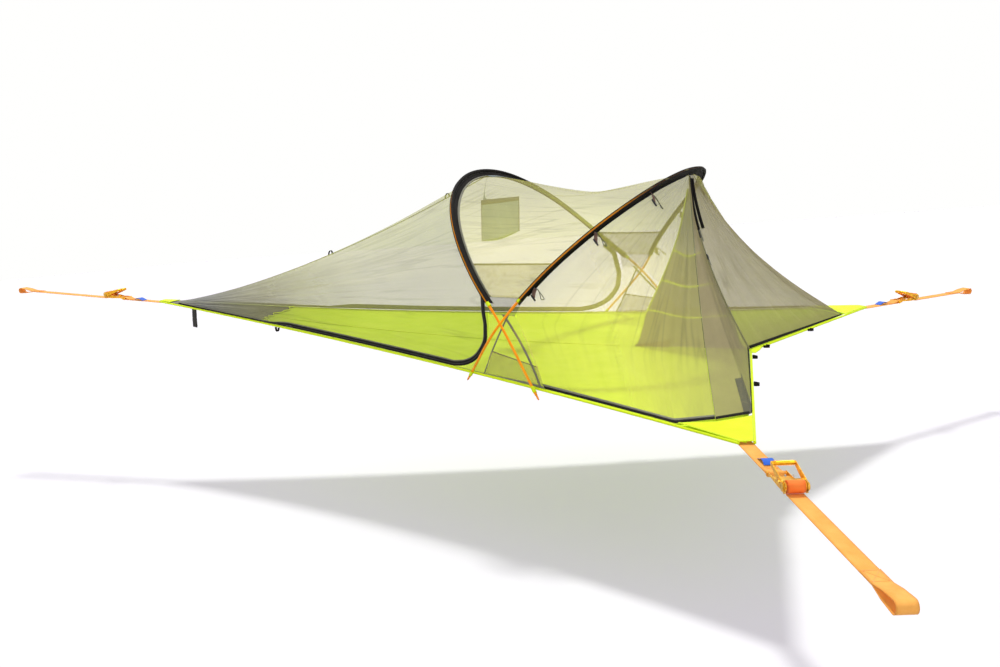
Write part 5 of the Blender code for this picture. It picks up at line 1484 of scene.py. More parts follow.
class Seams:
    """The tapes sewn over the walls' edges; each leg of the crossed tapes has a foot's and a head's X."""

    UP, DOWN, RIGHT, LEFT = (0.0, 0.01), (0.0, -0.01), (0.01, 0.0), (-0.01, 0.0)
    LEG = (-0.117, 0.002)
    RIGHT_LEG = (0.206, -0.022)
    TO_RIGHT = ((0.0, 0.0), (1.0, 0.0))
    ROLL, ROLL_OUT = 0.0072, Vector((0.006, 0, 0))

    @staticmethod
    def leg(xs: tuple[float, float]) -> tuple:
        """The path of one leg of the crossed tapes on the low wall."""
        return (WALLS.low_share(xs[0]), 0.0), (WALLS.low_share(xs[1]), 1.0)

    def side_tapes(self) -> tuple:
        """Each tape up to the side wall: its name, kind, wall, path, way across, setback and columns."""
        toe, foot, seam = ((0.02, 0.0), (0.30, 0.0)), self.TO_RIGHT, ((0.0, 0.31), (0.0, 1.0))
        left, right = self.leg(self.LEG), self.leg(self.RIGHT_LEG)
        return (
            ("toe_tape", BLACK_TAPE, WALLS.door, toe, self.UP, 0.002, 60),
            ("toe_grey_tape", GREY, WALLS.door, toe, self.UP, 0.015, 60),
            ("low_sill_tape", GREY, WALLS.kick, foot, self.UP, 0.001, 30),
            ("crossed_tape", BINDING, WALLS.low, left, self.RIGHT, -0.004, 30),
            ("crossed_right_tape", LEG, WALLS.low, right, self.RIGHT, -0.006, 30),
            ("side_sill_tape", BLACK_TAPE, WALLS.side_wall, foot, self.UP, 0.001, 70),
            ("side_grey_tape", GREY, WALLS.side_wall, foot, self.UP, 0.014, 70),
            ("side_seam_tape", DARK_BINDING, WALLS.side_wall, seam, self.RIGHT, 0.0, 70),
        )

    def end_tapes(self, side: Side) -> tuple:
        """The same of each tape on the end wall, the ridge and the roof."""
        tip, front, back = (((0.0, 1.0), (1.0, 1.0)), ((0.0, 0.0), (0.0, 0.5)), ((1.0, 0.0), (1.0, 0.5)))
        facing = GREY if side is Side.NEAR else FACING
        return (
            ("end_sill_tape", BLACK_TAPE, WALLS.end_wall, self.TO_RIGHT, self.UP, 0.001, 60),
            ("tip_ridge_tape", BINDING, WALLS.door, tip, self.DOWN, 0.0, 90),
            ("tip_roof_tape", facing, WALLS.roof, front, self.RIGHT, 0.0, 110),
            ("wide_roof_tape", DARK_BINDING, WALLS.roof, back, self.LEFT, 0.0, 110),
        )

    def end_trim(self, side: Side) -> None:
        """The ridge's seam, the roll beside the end zip and, on the near side, a dark net patch that is
        painted shade.
        """
        ridge = line_of(lambda v: side.of(WALLS.end_wall(0.0, v)), 80)
        finished(f"{side.word}_ridge_seam", tube(ridge, 0.0013, 6), Finish.SEAM).on(TENT, "mesh")
        fold = line_of(lambda v: side.of(WALLS.end_wall(0.93, v) + self.ROLL_OUT), 40, 0.70, 0.985)
        roll = tube(fold, self.ROLL, 8)
        finished(f"{side.word}_zip_edge_roll", roll, Finish.SLEEVE).on(TENT, "sleeve")
        if side is Side.NEAR:
            # Painted shade: a dark netting patch low on the near end wall, by the zip.
            low = patch(WALLS.end_wall, (0.10, 0.20), (0.0, 0.16))
            cloth = finished("near_end_facing", grid(low, 16, 10, lift=0.0012), Finish.FACING_MESH)
            cloth.on(TENT, "dark_mesh").sheet(low, ("near_end_wall",))

    def build(self) -> None:
        """Sew every tape on both sides, with the end's trim."""
        for side in Side:
            for name, tape, *rest in self.side_tapes():
                tape.sew(name, side, *rest)
            self.end_trim(side)
            for name, tape, *rest in self.end_tapes(side):
                tape.sew(name, side, *rest)


@dataclass(frozen=True)
class Zip:
    """A zip: a tape with a coil down its middle, and the slider that runs on it; sizes in metres."""

    width: float = 0.019
    thickness: float = 0.0014
    coil: float = 0.0016
    turn: float = 0.0034
    swell: float = 0.22
    lift: float = 0.0042
    corner_lift: float = 0.0095
    corner_reach: float = 0.110
    slider_length: float = 0.026
    slider_width: float = 0.011
    slider_height: float = 0.0043
    pull_length: float = 0.034

    def tape(self, name: str, shape: Surface, columns: int, length: float, node: str) -> None:
        """The tape and its coil, which is wound of close turns."""
        bm = thickened(grid(shape, columns, 4, (length, self.width)), self.thickness)
        finished(name + "_tape", bm, Finish.TAPE).on(TENT, "zip", node)
        steps = round(length / self.turn) * 4

        def radius(share: float) -> float:
            """The coil swells and dips once to each of its turns."""
            return self.coil * (1 + self.swell * math.cos(math.pi / 2 * round(share * steps)))

        coil = tube(line_of(lambda u: shape(u, 0.5), 200), radius, 8, steps)
        finished(name + "_coil", coil, Finish.COIL).on(TENT, "zip")

    def slider(self, name: str, matrix: Matrix) -> None:
        """The slider with its bridge and its pull, on its own body."""
        half, high = self.slider_length / 2, self.slider_height
        base = Matrix.Translation((0, 0, high * 0.36))
        parts = [block((half * 2, self.slider_width, high * 0.7), matrix @ base, 0.0011, 3)]
        bridge = [Vector((x, 0, z)) for x, z in arc(0.0075, 0.25, math.pi - 0.25, 15, 0.0, high * 0.05)]
        bridge = [Vector((p.x, 0, min(p.z * 0.62 + 0.0008, high + 0.0004))) for p in bridge]
        parts.append(tube([matrix @ p for p in bridge], 0.0009, 8))
        finished(name + "_body", together(parts), Finish.PLASTIC).on(name, "slider", name)
        low = Matrix.Translation((half * 0.5 + self.pull_length * 0.58, 0, high * 0.78))
        pull = block((self.pull_length * 0.86, 0.006, 0.0015), matrix @ low, 0.0006, 2)
        finished(name + "_pull", pull, Finish.PLASTIC).on(name, "slider")


class Zips:
    """The two door zips and the end zip."""

    START, TOP, EDGE = 0.28, 0.47, 0.003
    SLIDER, SPLIT = (0.07, 0.17), 0.66
    COLUMNS = 150
    STAND = 0.0027
    GREY_WIDTH = 0.006
    END_SLIDER = (0.5, 0.6)

    def __init__(self) -> None:
        """Take the near door's shape as what the door zip is sewn on."""
        self.zip = Zip()
        self.door = grid(WALLS.door, 96, 96)
        self.tree = BVHTree.FromBMesh(self.door)
        self.away = Vector((0, -1, 1)).normalized()
        path = line_of(lambda u: WALLS.door(u, 0.0), 60, self.START)
        path += line_of(lambda v: WALLS.door(1.0, v), 60, 0.0, self.TOP)[1:]
        self.line = resampled(path, self.COLUMNS + 1)
        heart = WALLS.door(0.6, 0.5)
        self.inward = []
        for point, run in zip(self.line, runs(self.line)):
            place = self.outside(point + square_to(run, heart - point) * self.zip.width, 0.0)
            self.inward.append(square_to(run, place - point))

    def outside(self, point: Vector, height: float) -> Vector:
        """The place at a height over the door's cloth, on its outer side."""
        place, normal, _, _ = self.tree.find_nearest(point)
        return place + turned_to(normal, self.away) * height

    def tape(self, u: float, v: float, start: float = 0.0, width: float = 0.0) -> Vector:
        """The near door's tape, u along it and v across it."""
        reach = (self.EDGE + start + (width or self.zip.width) * v) * lerp(0.3, 1.0, smooth(min(9 * u, 1.0)))
        point = at(self.line, u) + at(self.inward, u).normalized() * reach
        rise = max(1.0 - abs(point.z - WALLS.apex) / self.zip.corner_reach, 0.0)
        return self.outside(point, self.zip.lift + self.zip.corner_lift * rise)

    def grey(self, u: float, v: float) -> Vector:
        """The narrow grey tape beside the near door's zip, u along it and v across it."""
        return self.tape(u, v, self.zip.width, self.GREY_WIDTH)

    @staticmethod
    def end_grey(u: float, v: float) -> Vector:
        """The grey tape beside the end zip's upper part, u along it and v across it."""
        return WALLS.end_wall(1.0 - 0.02 * v, lerp(0.62, 1.0, u))

    @cached_property
    def end_line(self) -> Points:
        """The end zip's middle line, from the hem up."""
        return resampled(WALLS.zip_line, 161)

    def end(self, u: float, v: float) -> Vector:
        """The end zip's tape, u up it and v across it."""
        half = WALLS.zip_width / 2
        return at(self.end_line, u) + Vector((0, lerp(-half, half, v), 0))

    def slider_place(self, low: Vector, high: Vector, away: Vector) -> tuple[Vector, Vector, Vector]:
        """A slider's place between two points of its zip's middle, its run and its way off the tape."""
        return lerp(low, high, 0.5) + away * self.STAND, (low - high).normalized(), away

    @staticmethod
    def frame(place: Vector, run: Vector, away: Vector) -> Matrix:
        """Matrix of a slider: X along the zip, Z away from the tape."""
        away = square_to(run, away)
        return Matrix.Translation(place) @ Matrix((run, away.cross(run), away)).transposed().to_4x4()

    def doors(self) -> None:
        """The door zips with their grey tapes, linings and sliders."""
        length = length_of(self.line)
        low, high = (self.tape(u, 0.5) for u in self.SLIDER)
        middle = sum(self.SLIDER) / 2
        away = (low - high).cross(self.tape(middle, 1.0) - self.tape(middle, 0.0))
        place = self.slider_place(low, high, turned_to(away, Vector((0, -1, 0))))
        for side in Side:
            name = f"{side.word}_door"
            shape = mirror(self.tape, side)
            self.zip.tape(f"{name}_zip", shape, self.COLUMNS, length, f"{name}_zip")
            for word, strip, rows, width, lift, thickness, finish in (
                ("grey_tape", mirror(self.grey, side), 1, self.GREY_WIDTH, -0.0024, 0.0008, Finish.GREY_TAPE),
                ("zip_lining", shape, 2, self.zip.width, -0.0016, 0.0004, Finish.ZIP_LINING),
            ):
                bm = thickened(grid(strip, self.COLUMNS, rows, (length, width), lift=lift), thickness)
                finished(f"{name}_{word}", bm, finish).on(TENT, "zip")
            self.zip.slider(f"{name}_zip_slider", self.frame(*(side.of(p) for p in place)))

    def end_wall(self) -> None:
        """The end zip in its two parts, with its grey tapes and its slider."""
        length = length_of(WALLS.zip_line)
        upper = patch(self.end, (self.SPLIT, 1.0), (0, 1))
        self.zip.tape("end_wall_zip", upper, 50, length * 0.34, "end_zip")
        lower = grid(patch(self.end, (0.0, self.SPLIT), (0, 1)), 70, 4, (0.5, self.zip.width))
        lower = thickened(lower, self.zip.thickness)
        finished("end_wall_zip_lower_tape", lower, Finish.SEAM).on(TENT, "zip")
        coil = tube(line_of(lambda u: self.end(u, 0.5), 120, 0.0, self.SPLIT), self.zip.coil, 8)
        finished("end_wall_zip_lower_coil", coil, Finish.DARK_TAPE).on(TENT, "zip")
        for side in Side:
            bm = thickened(grid(mirror(self.end_grey, side), 60, 1, (0.4, 0.012), lift=0.0016), 0.0008)
            finished(f"{side.word}_end_zip_grey_tape", bm, Finish.GREY_TAPE).on(TENT, "zip")
        low, high = (at(self.end_line, share) for share in self.END_SLIDER)
        run = low - high
        away = turned_to(Vector((-run.z, 0, run.x)), Vector((1, 0, 0)))
        self.zip.slider("end_zip_slider", self.frame(*self.slider_place(low, high, away)))

    def build(self) -> None:
        """Make the three zips and their sliders."""
        self.doors()
        self.end_wall()
        self.door.free()


@dataclass(frozen=True)
class Divider:
    """The upright mesh panel inside the wide end, with its piping and pockets; sizes in metres."""

    floor: Floor
    head_drop: float = 0.050
    foot: tuple = (0.268, 0.010)
    bend: tuple = (0.030, 0.170)
    head_width: float = 0.010
    pockets: tuple = (0.21, 0.42, 0.62)
    piping: float = 0.0032

    @cached_property
    def lines(self) -> tuple[Points, Points]:
        """The free edge and the edge beside the end zip, from the floor up."""
        head = WIDE_ARCH.point(Arch.STATIONS, Arch.SLEEVE_DEPTH)
        back = Vector((-1, 0, -0.35)).normalized() * 0.0017
        right = [p + back for p in WALLS.zip_line if self.foot[1] < p.z < head.z - self.head_drop]
        top = right[-1] + Vector((-self.head_width, 0, 0))
        bend = Vector((top.x - self.bend[0], 0, top.z - self.bend[1]))
        left = along([Vector((self.foot[0], 0, self.foot[1])), bend, top], 65)
        return left, resampled(right, 65)

    def surface(self, u: float, v: float) -> Vector:
        """u from the free edge to the end wall, v from the floor up."""
        left, right = self.lines
        point = lerp(at(left, v), at(right, v), u)
        ground = self.floor.surface(self.floor.place(point.x), 0.5).z + 0.0022
        point.z = lerp(ground, point.z, min(v * 6, 1.0))
        return point

    def build(self) -> None:
        """Make the panel, its bright piping, its foot flap and the three pockets on each face."""
        bm = grid(self.surface, 30, 44)
        for vert in bm.verts:
            vert.co.y += 0.0012 * noise.noise(vert.co * 9)
        panel = finished("divider_panel", bm, Finish.DARK_MESH)
        panel.on(TENT, "dark_mesh", "divider").sheet(self.surface, ("end_zip", "floor"))
        edge = line_of(lambda v: self.surface(0.0, v), 60)
        finished("divider_edge_piping", tube(edge, self.piping, 10), Finish.HEM).on(TENT, "hem")
        flap = thickened(grid(self.foot_flap, 20, 3, (0.18, 0.03)), 0.0012)
        finished("divider_foot_tape", flap, Finish.TAPE).on(TENT, "sleeve")
        lows = (0.03,) + tuple(top - 0.02 for top in self.pockets)
        for i, (low, top) in enumerate(zip(lows, self.pockets)):
            for side in Side:
                pocket = self.pocket(low, top, side)
                name = f"divider_pocket_{i + 1}_{side.word}"
                cloth = finished(name, grid(pocket, 24, 10), Finish.DIVIDER_POCKET)
                cloth.on(TENT, "dark_mesh").sheet(pocket, ("divider",))
                rim = thickened(grid(patch(pocket, (0, 1), (0.955, 1.01)), 24, 1, (0.4, 0.008)), 0.0012)
                finished(name + "_binding", rim, Finish.HEM).on(TENT, "hem")

    def foot_flap(self, u: float, v: float) -> Vector:
        """The dark flap at the panel's free foot, u along the floor and v up."""
        return self.surface(0.32 * u, lerp(0.004, lerp(0.03, 0.08, u), v)) + Vector((0, -0.009, 0))

    def pocket(self, low: float, top: float, side: Side) -> Surface:
        """One pocket's front, which stands a little off the panel and sags at its top."""

        def surface(u: float, v: float) -> Vector:
            """u across the pocket and v up it."""
            bend = math.sin(math.pi * u)
            place = self.surface(lerp(0.01, 0.96, u), lerp(low, top - 0.03 * bend**2, v))
            out = -0.004 * side.value * (0.7 + 2.0 * bend * smooth(v * 2))
            return place + Vector((0, out, 0))

        return surface


@dataclass(frozen=True)
class LoftPocket:
    """The pocket that hangs by cords under the roof, behind the tip arch; sizes in metres."""

    width: float = 0.205
    height: float = 0.200
    drop: float = 0.112
    back: float = -0.032
    bulge: float = 0.030
    slope: float = 0.022
    shorter: float = 0.035
    front: float = 0.42
    under: float = 0.16
    hang_start: float = 0.88

    def surface(self, u: float, v: float) -> Vector:
        """u across the pocket and v down its front, under it and up its back."""
        head = TIP_ARCH.point(Arch.STATIONS, Arch.SLEEVE_DEPTH)
        hook = TIP_ARCH.point(Arch.STATIONS, Arch.SLEEVE_DEPTH + 0.0005)
        turn = min(max((v - self.front) / self.under, 0.0), 1.0) * math.pi
        depth = self.bulge * math.sin(math.pi * u) + 0.003
        rise = 1.0 - min(min(v, 1.0 - v) / self.front, 1.0)
        x = head.x + self.back + self.width * u
        deep = self.height - self.shorter * u
        z = head.z - self.drop + self.slope * u - deep * (1 - rise) - math.sin(turn) * depth / 2
        hang = max((v - self.hang_start) / (1 - self.hang_start), 0.0) * (1 - u) ** 24
        return Vector((lerp(x, hook.x, hang), -math.cos(turn) * depth / 2, lerp(z, hook.z, hang)))

    def build(self) -> None:
        """Make the pocket, its bound mouth, its seams and its cords."""
        bm = grid(self.surface, 32, 96)
        for vert in bm.verts:
            vert.co.y += 0.0018 * noise.noise(Vector((vert.co.x * 26, vert.co.z * 9, 4)))
        piece = finished("loft_pocket_cloth", thickened(bm, 0.0008), Finish.LOFT_CLOTH)
        piece.on(TENT, "dark_mesh", "loft_pocket").sheet(self.surface, ("tip_sleeve",), thick=True)
        mouth = grid(patch(self.surface, (0, 1), (0.0, 0.05)), 32, 2, (0.2, 0.02), lift=0.001)
        trim = {"binding": thickened(mouth, 0.0012)}
        for name, u in (("front_seam", 0.0), ("back_seam", 1.0)):
            seam = line_of(lambda v, edge=u: self.surface(edge, v), 60, 0.0, self.hang_start)
            trim[name] = tube(seam, 0.0013, 8)
        for name, bm in trim.items():
            finished(f"loft_pocket_{name}", bm, Finish.GREY_TAPE).on(TENT, "dark_mesh")


@dataclass(frozen=True)
class WallPockets:
    """Mesh pockets in the V between the sleeves and on the kick panels; sizes in metres."""

    v_left: float = 0.429
    v_right: float = 0.445
    kick_left: float = 0.39
    kick_right: float = 0.28
    gap: float = 0.005

    @staticmethod
    def height(u: float, wanted: float) -> float:
        """The v at which the roof's edge at u reaches a height."""
        return solved(lambda v: WALLS.roof(u, v).z, wanted, 0.3, 16)

    def build(self) -> None:
        """Make both pockets of each side with their bound tops."""
        left, right = self.height(0.03, self.v_left), self.height(0.97, self.v_right)
        leg = Seams.leg(Seams.LEG)

        def upper(u: float, v: float) -> Vector:
            """The pocket between the sleeves."""
            return WALLS.roof(lerp(0.02, 0.98, u), v * lerp(left, right, u))

        def lower(u: float, v: float) -> Vector:
            """The pocket between the crossed tapes on the kick panel."""
            high = v * lerp(self.kick_left, self.kick_right, u)
            end = WALLS.low_share(lerp(WALLS.kick_foot, WALLS.apex_x, high) - 0.006)
            return WALLS.low(lerp(lerp(leg[0][0], leg[1][0], high), end, u), high)

        for side in Side:
            for name, shape, cells, holder in (
                ("v_pocket", upper, (28, 22), "roof"),
                ("low_pocket", lower, (24, 14), f"{side.word}_kick_panel"),
            ):
                name, whole = f"{side.word}_{name}", mirror(shape, side)
                slack = creases(5.0 + side.value, 3.0, 2.0, 0.003)
                cloth = finished(name, grid(whole, *cells, None, slack, -self.gap), Finish.POCKET_MESH)
                cloth.on(TENT, "mesh").sheet(whole, (holder,))
                rim = grid(patch(whole, (0, 1), (0.965, 1.02)), 28, 1, (0.3, 0.009), lift=0.001 - self.gap)
                finished(name + "_binding", thickened(rim, 0.001), Finish.DARK_TAPE).on(TENT, "zip")


@dataclass(frozen=True)
class Toggles:
    """Small toggles with their tabs and cords, and the loops on the ridges; sizes in metres."""

    tab: float = 0.042
    tab_width: float = 0.017
    bar: float = 0.034
    bar_radius: float = 0.0042
    cord: float = 0.0016
    cord_run: tuple = (0.004, 0.016, 0.030, 0.042, 0.052, 0.044, 0.026, 0.006)
    cord_fall: tuple = (0.0, 0.006, 0.024, 0.040, 0.036, 0.026, 0.014, 0.0)
    cord_out: tuple = (0.0, 0.004, 0.006, 0.004, 0.003, 0.002, 0.002, 0.001)
    loop_reach: float = 0.022
    loop_half: float = 0.013
    loop_width: float = 0.012

    @staticmethod
    def on_wall(v: float) -> tuple[Vector, Vector, Vector, Vector]:
        """A place on the side wall's edge, with its run, its fall and its outward direction."""
        place, beside, above = (WALLS.side_wall(*p) for p in ((0.012, v), (0.05, v), (0.012, v + 0.03)))
        out = turned_to((beside - place).cross(above - place), Vector((0, -1, 0)))
        return place + out * 0.006, (beside - place).normalized(), square_to(out, Vector((0, 0, -1))), out

    def toggle(self, name: str, place: Vector, run: Vector, down: Vector, out: Vector) -> None:
        """A brown tab that hangs from a seam with a black bar in it and a cord loop beside it."""

        def tab(u: float, v: float) -> Vector:
            """u across the tab and v down it."""
            across, swell = run * self.tab_width * (u - 0.5), out * 0.006 * math.sin(math.pi * v)
            return place + across + down * self.tab * v + swell

        cloth = thickened(grid(tab, 3, 8, (self.tab_width, self.tab)), 0.0012)
        finished(name + "_tab", cloth, Finish.BROWN).on(TENT, "webbing")
        foot = place + down * (self.tab + self.bar_radius * 0.6)
        lean = (run * 0.8 + down * 0.6).normalized() * self.bar
        line = line_of(lambda share: foot + lean * (share - 0.5), 8)
        bar = tube(line, lambda s: self.bar_radius * (0.75 + 0.25 * math.sin(math.pi * s)), 12)
        finished(name + "_bar", bar, Finish.PLASTIC).on(TENT, "slider")
        steps = zip(self.cord_run, self.cord_fall, self.cord_out)
        loop = along([place + run * a + down * b + out * c for a, b, c in steps], 49)
        finished(name + "_cord", tube(loop, self.cord, 8), Finish.OLIVE_CORD).on(TENT, "zip")

    def loop(self, name: str, place: Vector, run: Vector, up: Vector) -> None:
        """A small sewn loop of black tape that stands on a seam."""
        run = run.normalized()
        bend = arc(1.0, 0.0, math.pi, 17)
        line = [place + run * self.loop_half * x + up * (self.loop_reach * z + 0.001) for x, z in bend]
        across = run.cross(up).normalized() * self.loop_width

        def shape(u: float, v: float) -> Vector:
            """u across the tape and v along it."""
            return at(line, v) + across * (u - 0.5)

        bm = thickened(grid(shape, 2, 24, (self.loop_width, 0.05)), 0.0016)
        finished(name, bm, Finish.TAPE).on(TENT, "zip")

    def build(self) -> None:
        """Place the toggles under the wide sleeve and the loops on ridges and hems."""
        for side in Side:
            for i, share in enumerate((0.34, 0.575, 0.79)):
                self.toggle(f"{side.word}_wall_toggle_{i + 1}", *(side.of(p) for p in self.on_wall(share)))
        for i, share in enumerate((0.43, 0.80)):
            place = WALLS.door(share, 1.0)
            run = WALLS.door(share + 0.02, 1.0) - place
            self.loop(f"tip_ridge_loop_{i + 1}", Vector((place.x, 0, place.z)), run, Vector((0, 0, 1)))
        long_hem = (PLAN.near(PLAN.share_at(-1.62), 0.0, -PLAN.radius), PLAN.near(0.3) - PLAN.near(0.29))
        corner = PLAN.short()[0]
        for side in Side:
            self.loop(f"{side.word}_hem_loop", *(side.of(p) for p in long_hem), Vector((0, 0, -1)))
            for i, share in enumerate((0.09, 0.44)):
                place = lerp(PLAN.middle, corner, share) + Vector((PLAN.radius, 0, 0))
                short_hem = (side.of(place), side.of(corner - PLAN.middle))
                self.loop(f"{side.word}_short_hem_loop_{i + 1}", *short_hem, Vector((1, 0, 0)))


@dataclass(frozen=True)
class TieOut:
    """The loop of black webbing that hangs from the near hem by the tip corner; sizes in metres."""

    distance: float = 0.334
    width: float = 0.040
    length: float = 0.105

    def build(self) -> None:
        """Make the doubled webbing, its fold and its stitching."""
        share = PLAN.share_at(self.distance - PLAN.tip_reach)
        point = PLAN.near(share)
        run = (PLAN.near(share + 0.01) - PLAN.near(share - 0.01)).normalized()
        across = Vector((0, 0, 1)).cross(run).normalized()
        down = -run.cross(across)
        top = PLAN.radius + 0.0005

        def webbing(u: float, v: float) -> Vector:
            """u across the webbing and v down its outer layer and up its inner one."""
            drop = 1 - abs(2 * v - 1)
            turn = math.cos(math.pi * min(max((v - 0.46) / 0.08, 0.0), 1.0))
            out = 0.0011 * turn + 0.0016 * math.sin(3 * math.pi * drop) * 0.3
            fall = down * (top + self.length * drop * 0.99)
            return point + run * self.width * (u - 0.5) + fall + across * out

        body = "tie_out_strap"
        bm = thickened(grid(webbing, 6, 60, (self.width, self.length * 2)), 0.0012)
        finished("tie_out_webbing", bm, Finish.BLACK_STRAP).on(body, "tie_webbing", body)
        lines = []
        for side in (-1, 1):
            for drop in (0.012, 0.020):
                middle = point + down * (top + drop) + across * side * 0.0021
                half = run * self.width * 0.4
                lines.append(stitches([middle - half, middle + half], 0.0005, 0.004))
        finished("tie_out_stitching", together(lines), Finish.DARK_THREAD).on(body, "tie_webbing")


class Corner(Enum):
    """The three corners: word, how far the strap goes, its corner and the turn about Z."""

    TIP = ("tip", 1.237, PLAN.tip, math.pi)
    NEAR = ("near", 1.120, PLAN.corner, -math.radians(60))
    FAR = ("far", 0.990, mirrored(PLAN.corner), math.radians(60))

    def __init__(self, word: str, length: float, point: Vector, angle: float) -> None:
        """Keep what the corner's strap needs."""
        self.word, self.length, self.point, self.angle = word, length, point, angle

    @property
    def matrix(self) -> Matrix:
        """The corner's place: X runs out along the strap."""
        return Matrix.Translation(self.point) @ Matrix.Rotation(self.angle, 4, "Z")


@dataclass(frozen=True)
class Ratchet:
    """One corner's straps and ratchet; sizes in metres."""

    corner: Corner
    width: float = 0.050
    thickness: float = 0.0024
    level: float = -0.0065
    spool_level: float = 0.015
    spool: float = 0.440
    frame_length: float = 0.150
    bolt_drop: float = 0.015
    bolt_radius: float = 0.005
    tuck: float = 0.060
    eye_length: float = 0.120
    eye_height: float = 0.032
    seam_length: float = 0.070
    layer: float = 0.0027
    tab_width: float = 0.036
    tab_line: tuple = ((0.140, 0.0), (0.157, 0.006), (0.178, 0.012), (0.194, 0.010), (0.208, 0.002))
    tab_shift: float = 0.006
    loop_end: float = 0.070
    loop_landing: float = 0.0448
    loop_rise: float = 0.028
    loop_box: tuple = (0.066, 0.048)
    corner_box: tuple = (-0.052, -0.008)
    core: float = 0.0078
    turns: int = 4
    steps: int = 40
    handle_turn: float = math.radians(18)
    grip: tuple = (-0.108, 0.0285, 0.0070)
    spring_radius: float = 0.0024
    spring_wire: float = 0.00045
    spring_side: float = 0.012
    spring_angle: float = 49.92

    @property
    def axle(self) -> Matrix:
        """The spool's place, with X out along the strap."""
        return self.corner.matrix @ Matrix.Translation((self.spool, 0, self.spool_level))

    def leaning(self, angle: float) -> Matrix:
        """The spool's place turned about its axle."""
        return self.axle @ Matrix.Rotation(angle, 4, "Y")

    def webbing(self, name: str, path: list, body: str, node: str, place: Matrix, count: int) -> None:
        """Webbing along a path of X and Z: body and node are the frame's, place is its matrix."""
        line = resampled([Vector((x, 0, z)) for x, z in path], count)

        def shape(u: float, v: float) -> Vector:
            """u across the webbing and v along it."""
            return place @ (at(line, v) + Vector((0, self.width * (u - 0.5), 0)))

        bm = thickened(grid(shape, 6, count - 1, (self.width, length_of(line))), self.thickness)
        # The roll on the spool takes the darker, redder webbing as painted shade.
        finished(name, bm, Finish.STRAP if body == TENT else Finish.WOUND).on(body, "webbing", node)

    def box_stitch(self, name: str, start: float, end: float, level: float) -> None:
        """A sewn box with a cross in it on the webbing's face."""
        half = self.width * 0.40
        ring = [(start, -half), (end, -half), (end, half), (start, half), (start, -half), (end, half)]
        lines = []
        for shape in (ring, [(start, half), (end, -half)]):
            points = resampled([self.corner.matrix @ Vector((x, y, level)) for x, y in shape], 161)
            lines.append(stitches(points, 0.0006, 0.0045))
        finished(f"{self.corner.word}_{name}", together(lines), Finish.THREAD).on(TENT, "webbing")

    def straps(self) -> None:
        """The corner strap, the tree strap with its eye, and the wound roll."""
        word, matrix, low = self.corner.word, self.corner.matrix, self.level
        high = low + self.layer
        bolt_x = self.spool - self.frame_length
        radius = self.bolt_radius + 0.0003 + self.thickness / 2
        path = [(-self.tuck, low), (self.tuck, low), (bolt_x - self.loop_end, low)]
        path += arc(radius, -math.pi / 2, math.pi / 2, 15, bolt_x, self.spool_level - self.bolt_drop)
        path += [(bolt_x - self.loop_rise, low + self.layer * 1.6), (bolt_x - self.loop_landing, high)]
        path += [(bolt_x - self.loop_end, high)]
        self.webbing(f"{word}_corner_webbing", path, TENT, f"{word}_corner_strap", matrix, 90)
        end, half = self.corner.length, self.eye_height / 2
        mouth, sewn_end = end - self.eye_length * 0.6, end - self.eye_length
        path = [(self.spool, low), (sewn_end, low), (mouth, low - half * 0.7)]
        path += arc(half, -math.pi / 2, math.pi / 2, 15, end - half, low)
        path += [(mouth, low + half * 0.7), (sewn_end, high), (sewn_end - self.seam_length, high)]
        self.webbing(f"{word}_tree_webbing", path, TENT, f"{word}_tree_strap", matrix, 170)
        over = self.thickness / 2 + 0.0002
        for name, start, stop, face in (
            ("eye_stitching", sewn_end - self.seam_length + 0.006, sewn_end - 0.008, high + over),
            ("bolt_loop_stitching", bolt_x - self.loop_box[0], bolt_x - self.loop_box[1], high + over),
            ("corner_stitching", *self.corner_box, low - over),
        ):
            self.box_stitch(name, start, stop, face)
        spiral = []
        for i in range(self.turns * self.steps + 1):
            turn = i / self.steps
            angle, reach = (2 * turn - 0.5) * math.pi, self.core + self.layer * turn * 1.02
            spiral.append((reach * math.cos(angle), reach * math.sin(angle)))
        self.webbing(f"{word}_wound_webbing", spiral, f"{word}_spool", f"{word}_strap_roll", self.axle, 161)

    def label(self) -> None:
        """The plain blue tab sewn on the corner strap."""
        level = self.level + self.thickness / 2 + 0.0012
        points = along([Vector((x, 0, level + z)) for x, z in self.tab_line], 33)

        def shape(u: float, v: float) -> Vector:
            """u across the tab and v along it."""
            across = Vector((0, self.tab_width * (u - 0.5) + self.tab_shift, 0))
            return self.corner.matrix @ (at(points, v) + across)

        bm = thickened(grid(shape, 8, 32, (self.tab_width, 0.066)), 0.0010)
        finished(f"{self.corner.word}_blue_tab", bm, Finish.BLUE).on(TENT, "webbing")

    def metal(self, nodes: dict) -> None:
        """Round the CAD metal's edges and plate it."""
        for part in ("ratchet_frame", "ratchet_handle", "ratchet_spool", "handle_pawl", "lock_pawl"):
            obj = nodes[f"{self.corner.word}_{part}"]
            finish = Finish.ZINC if part in ("ratchet_frame", "ratchet_handle") else Finish.WORN_ZINC
            if not obj.data.materials:
                obj.data.materials.append(finish.material)
            for slot in obj.material_slots:
                slot.material = finish.material
            weld = obj.modifiers.new("Weld", "WELD")
            weld.merge_threshold = 0.00001
            bevel = obj.modifiers.new("Edges", "BEVEL")
            bevel.width = 0.0005
            bevel.segments = 2
            bevel.limit_method = "ANGLE"
            bevel.angle_limit = math.radians(40)
            bevel.harden_normals = True

    def spring(self, name: str, place: Matrix, body: str, x: float, long: float) -> None:
        """A pair of coil springs beside a pawl, each of about eight turns."""
        coils = []
        for side in (-1, 1):
            turns = arc(self.spring_radius, 0.0, self.spring_angle, 97, side * self.spring_side)
            line = [place @ Vector((x + long * i / 96, y, z)) for i, (y, z) in enumerate(turns)]
            coils.append(tube(line, self.spring_wire, 6))
        finished(f"{self.corner.word}_{name}", together(coils), Finish.SPRING).on(body, "steel")

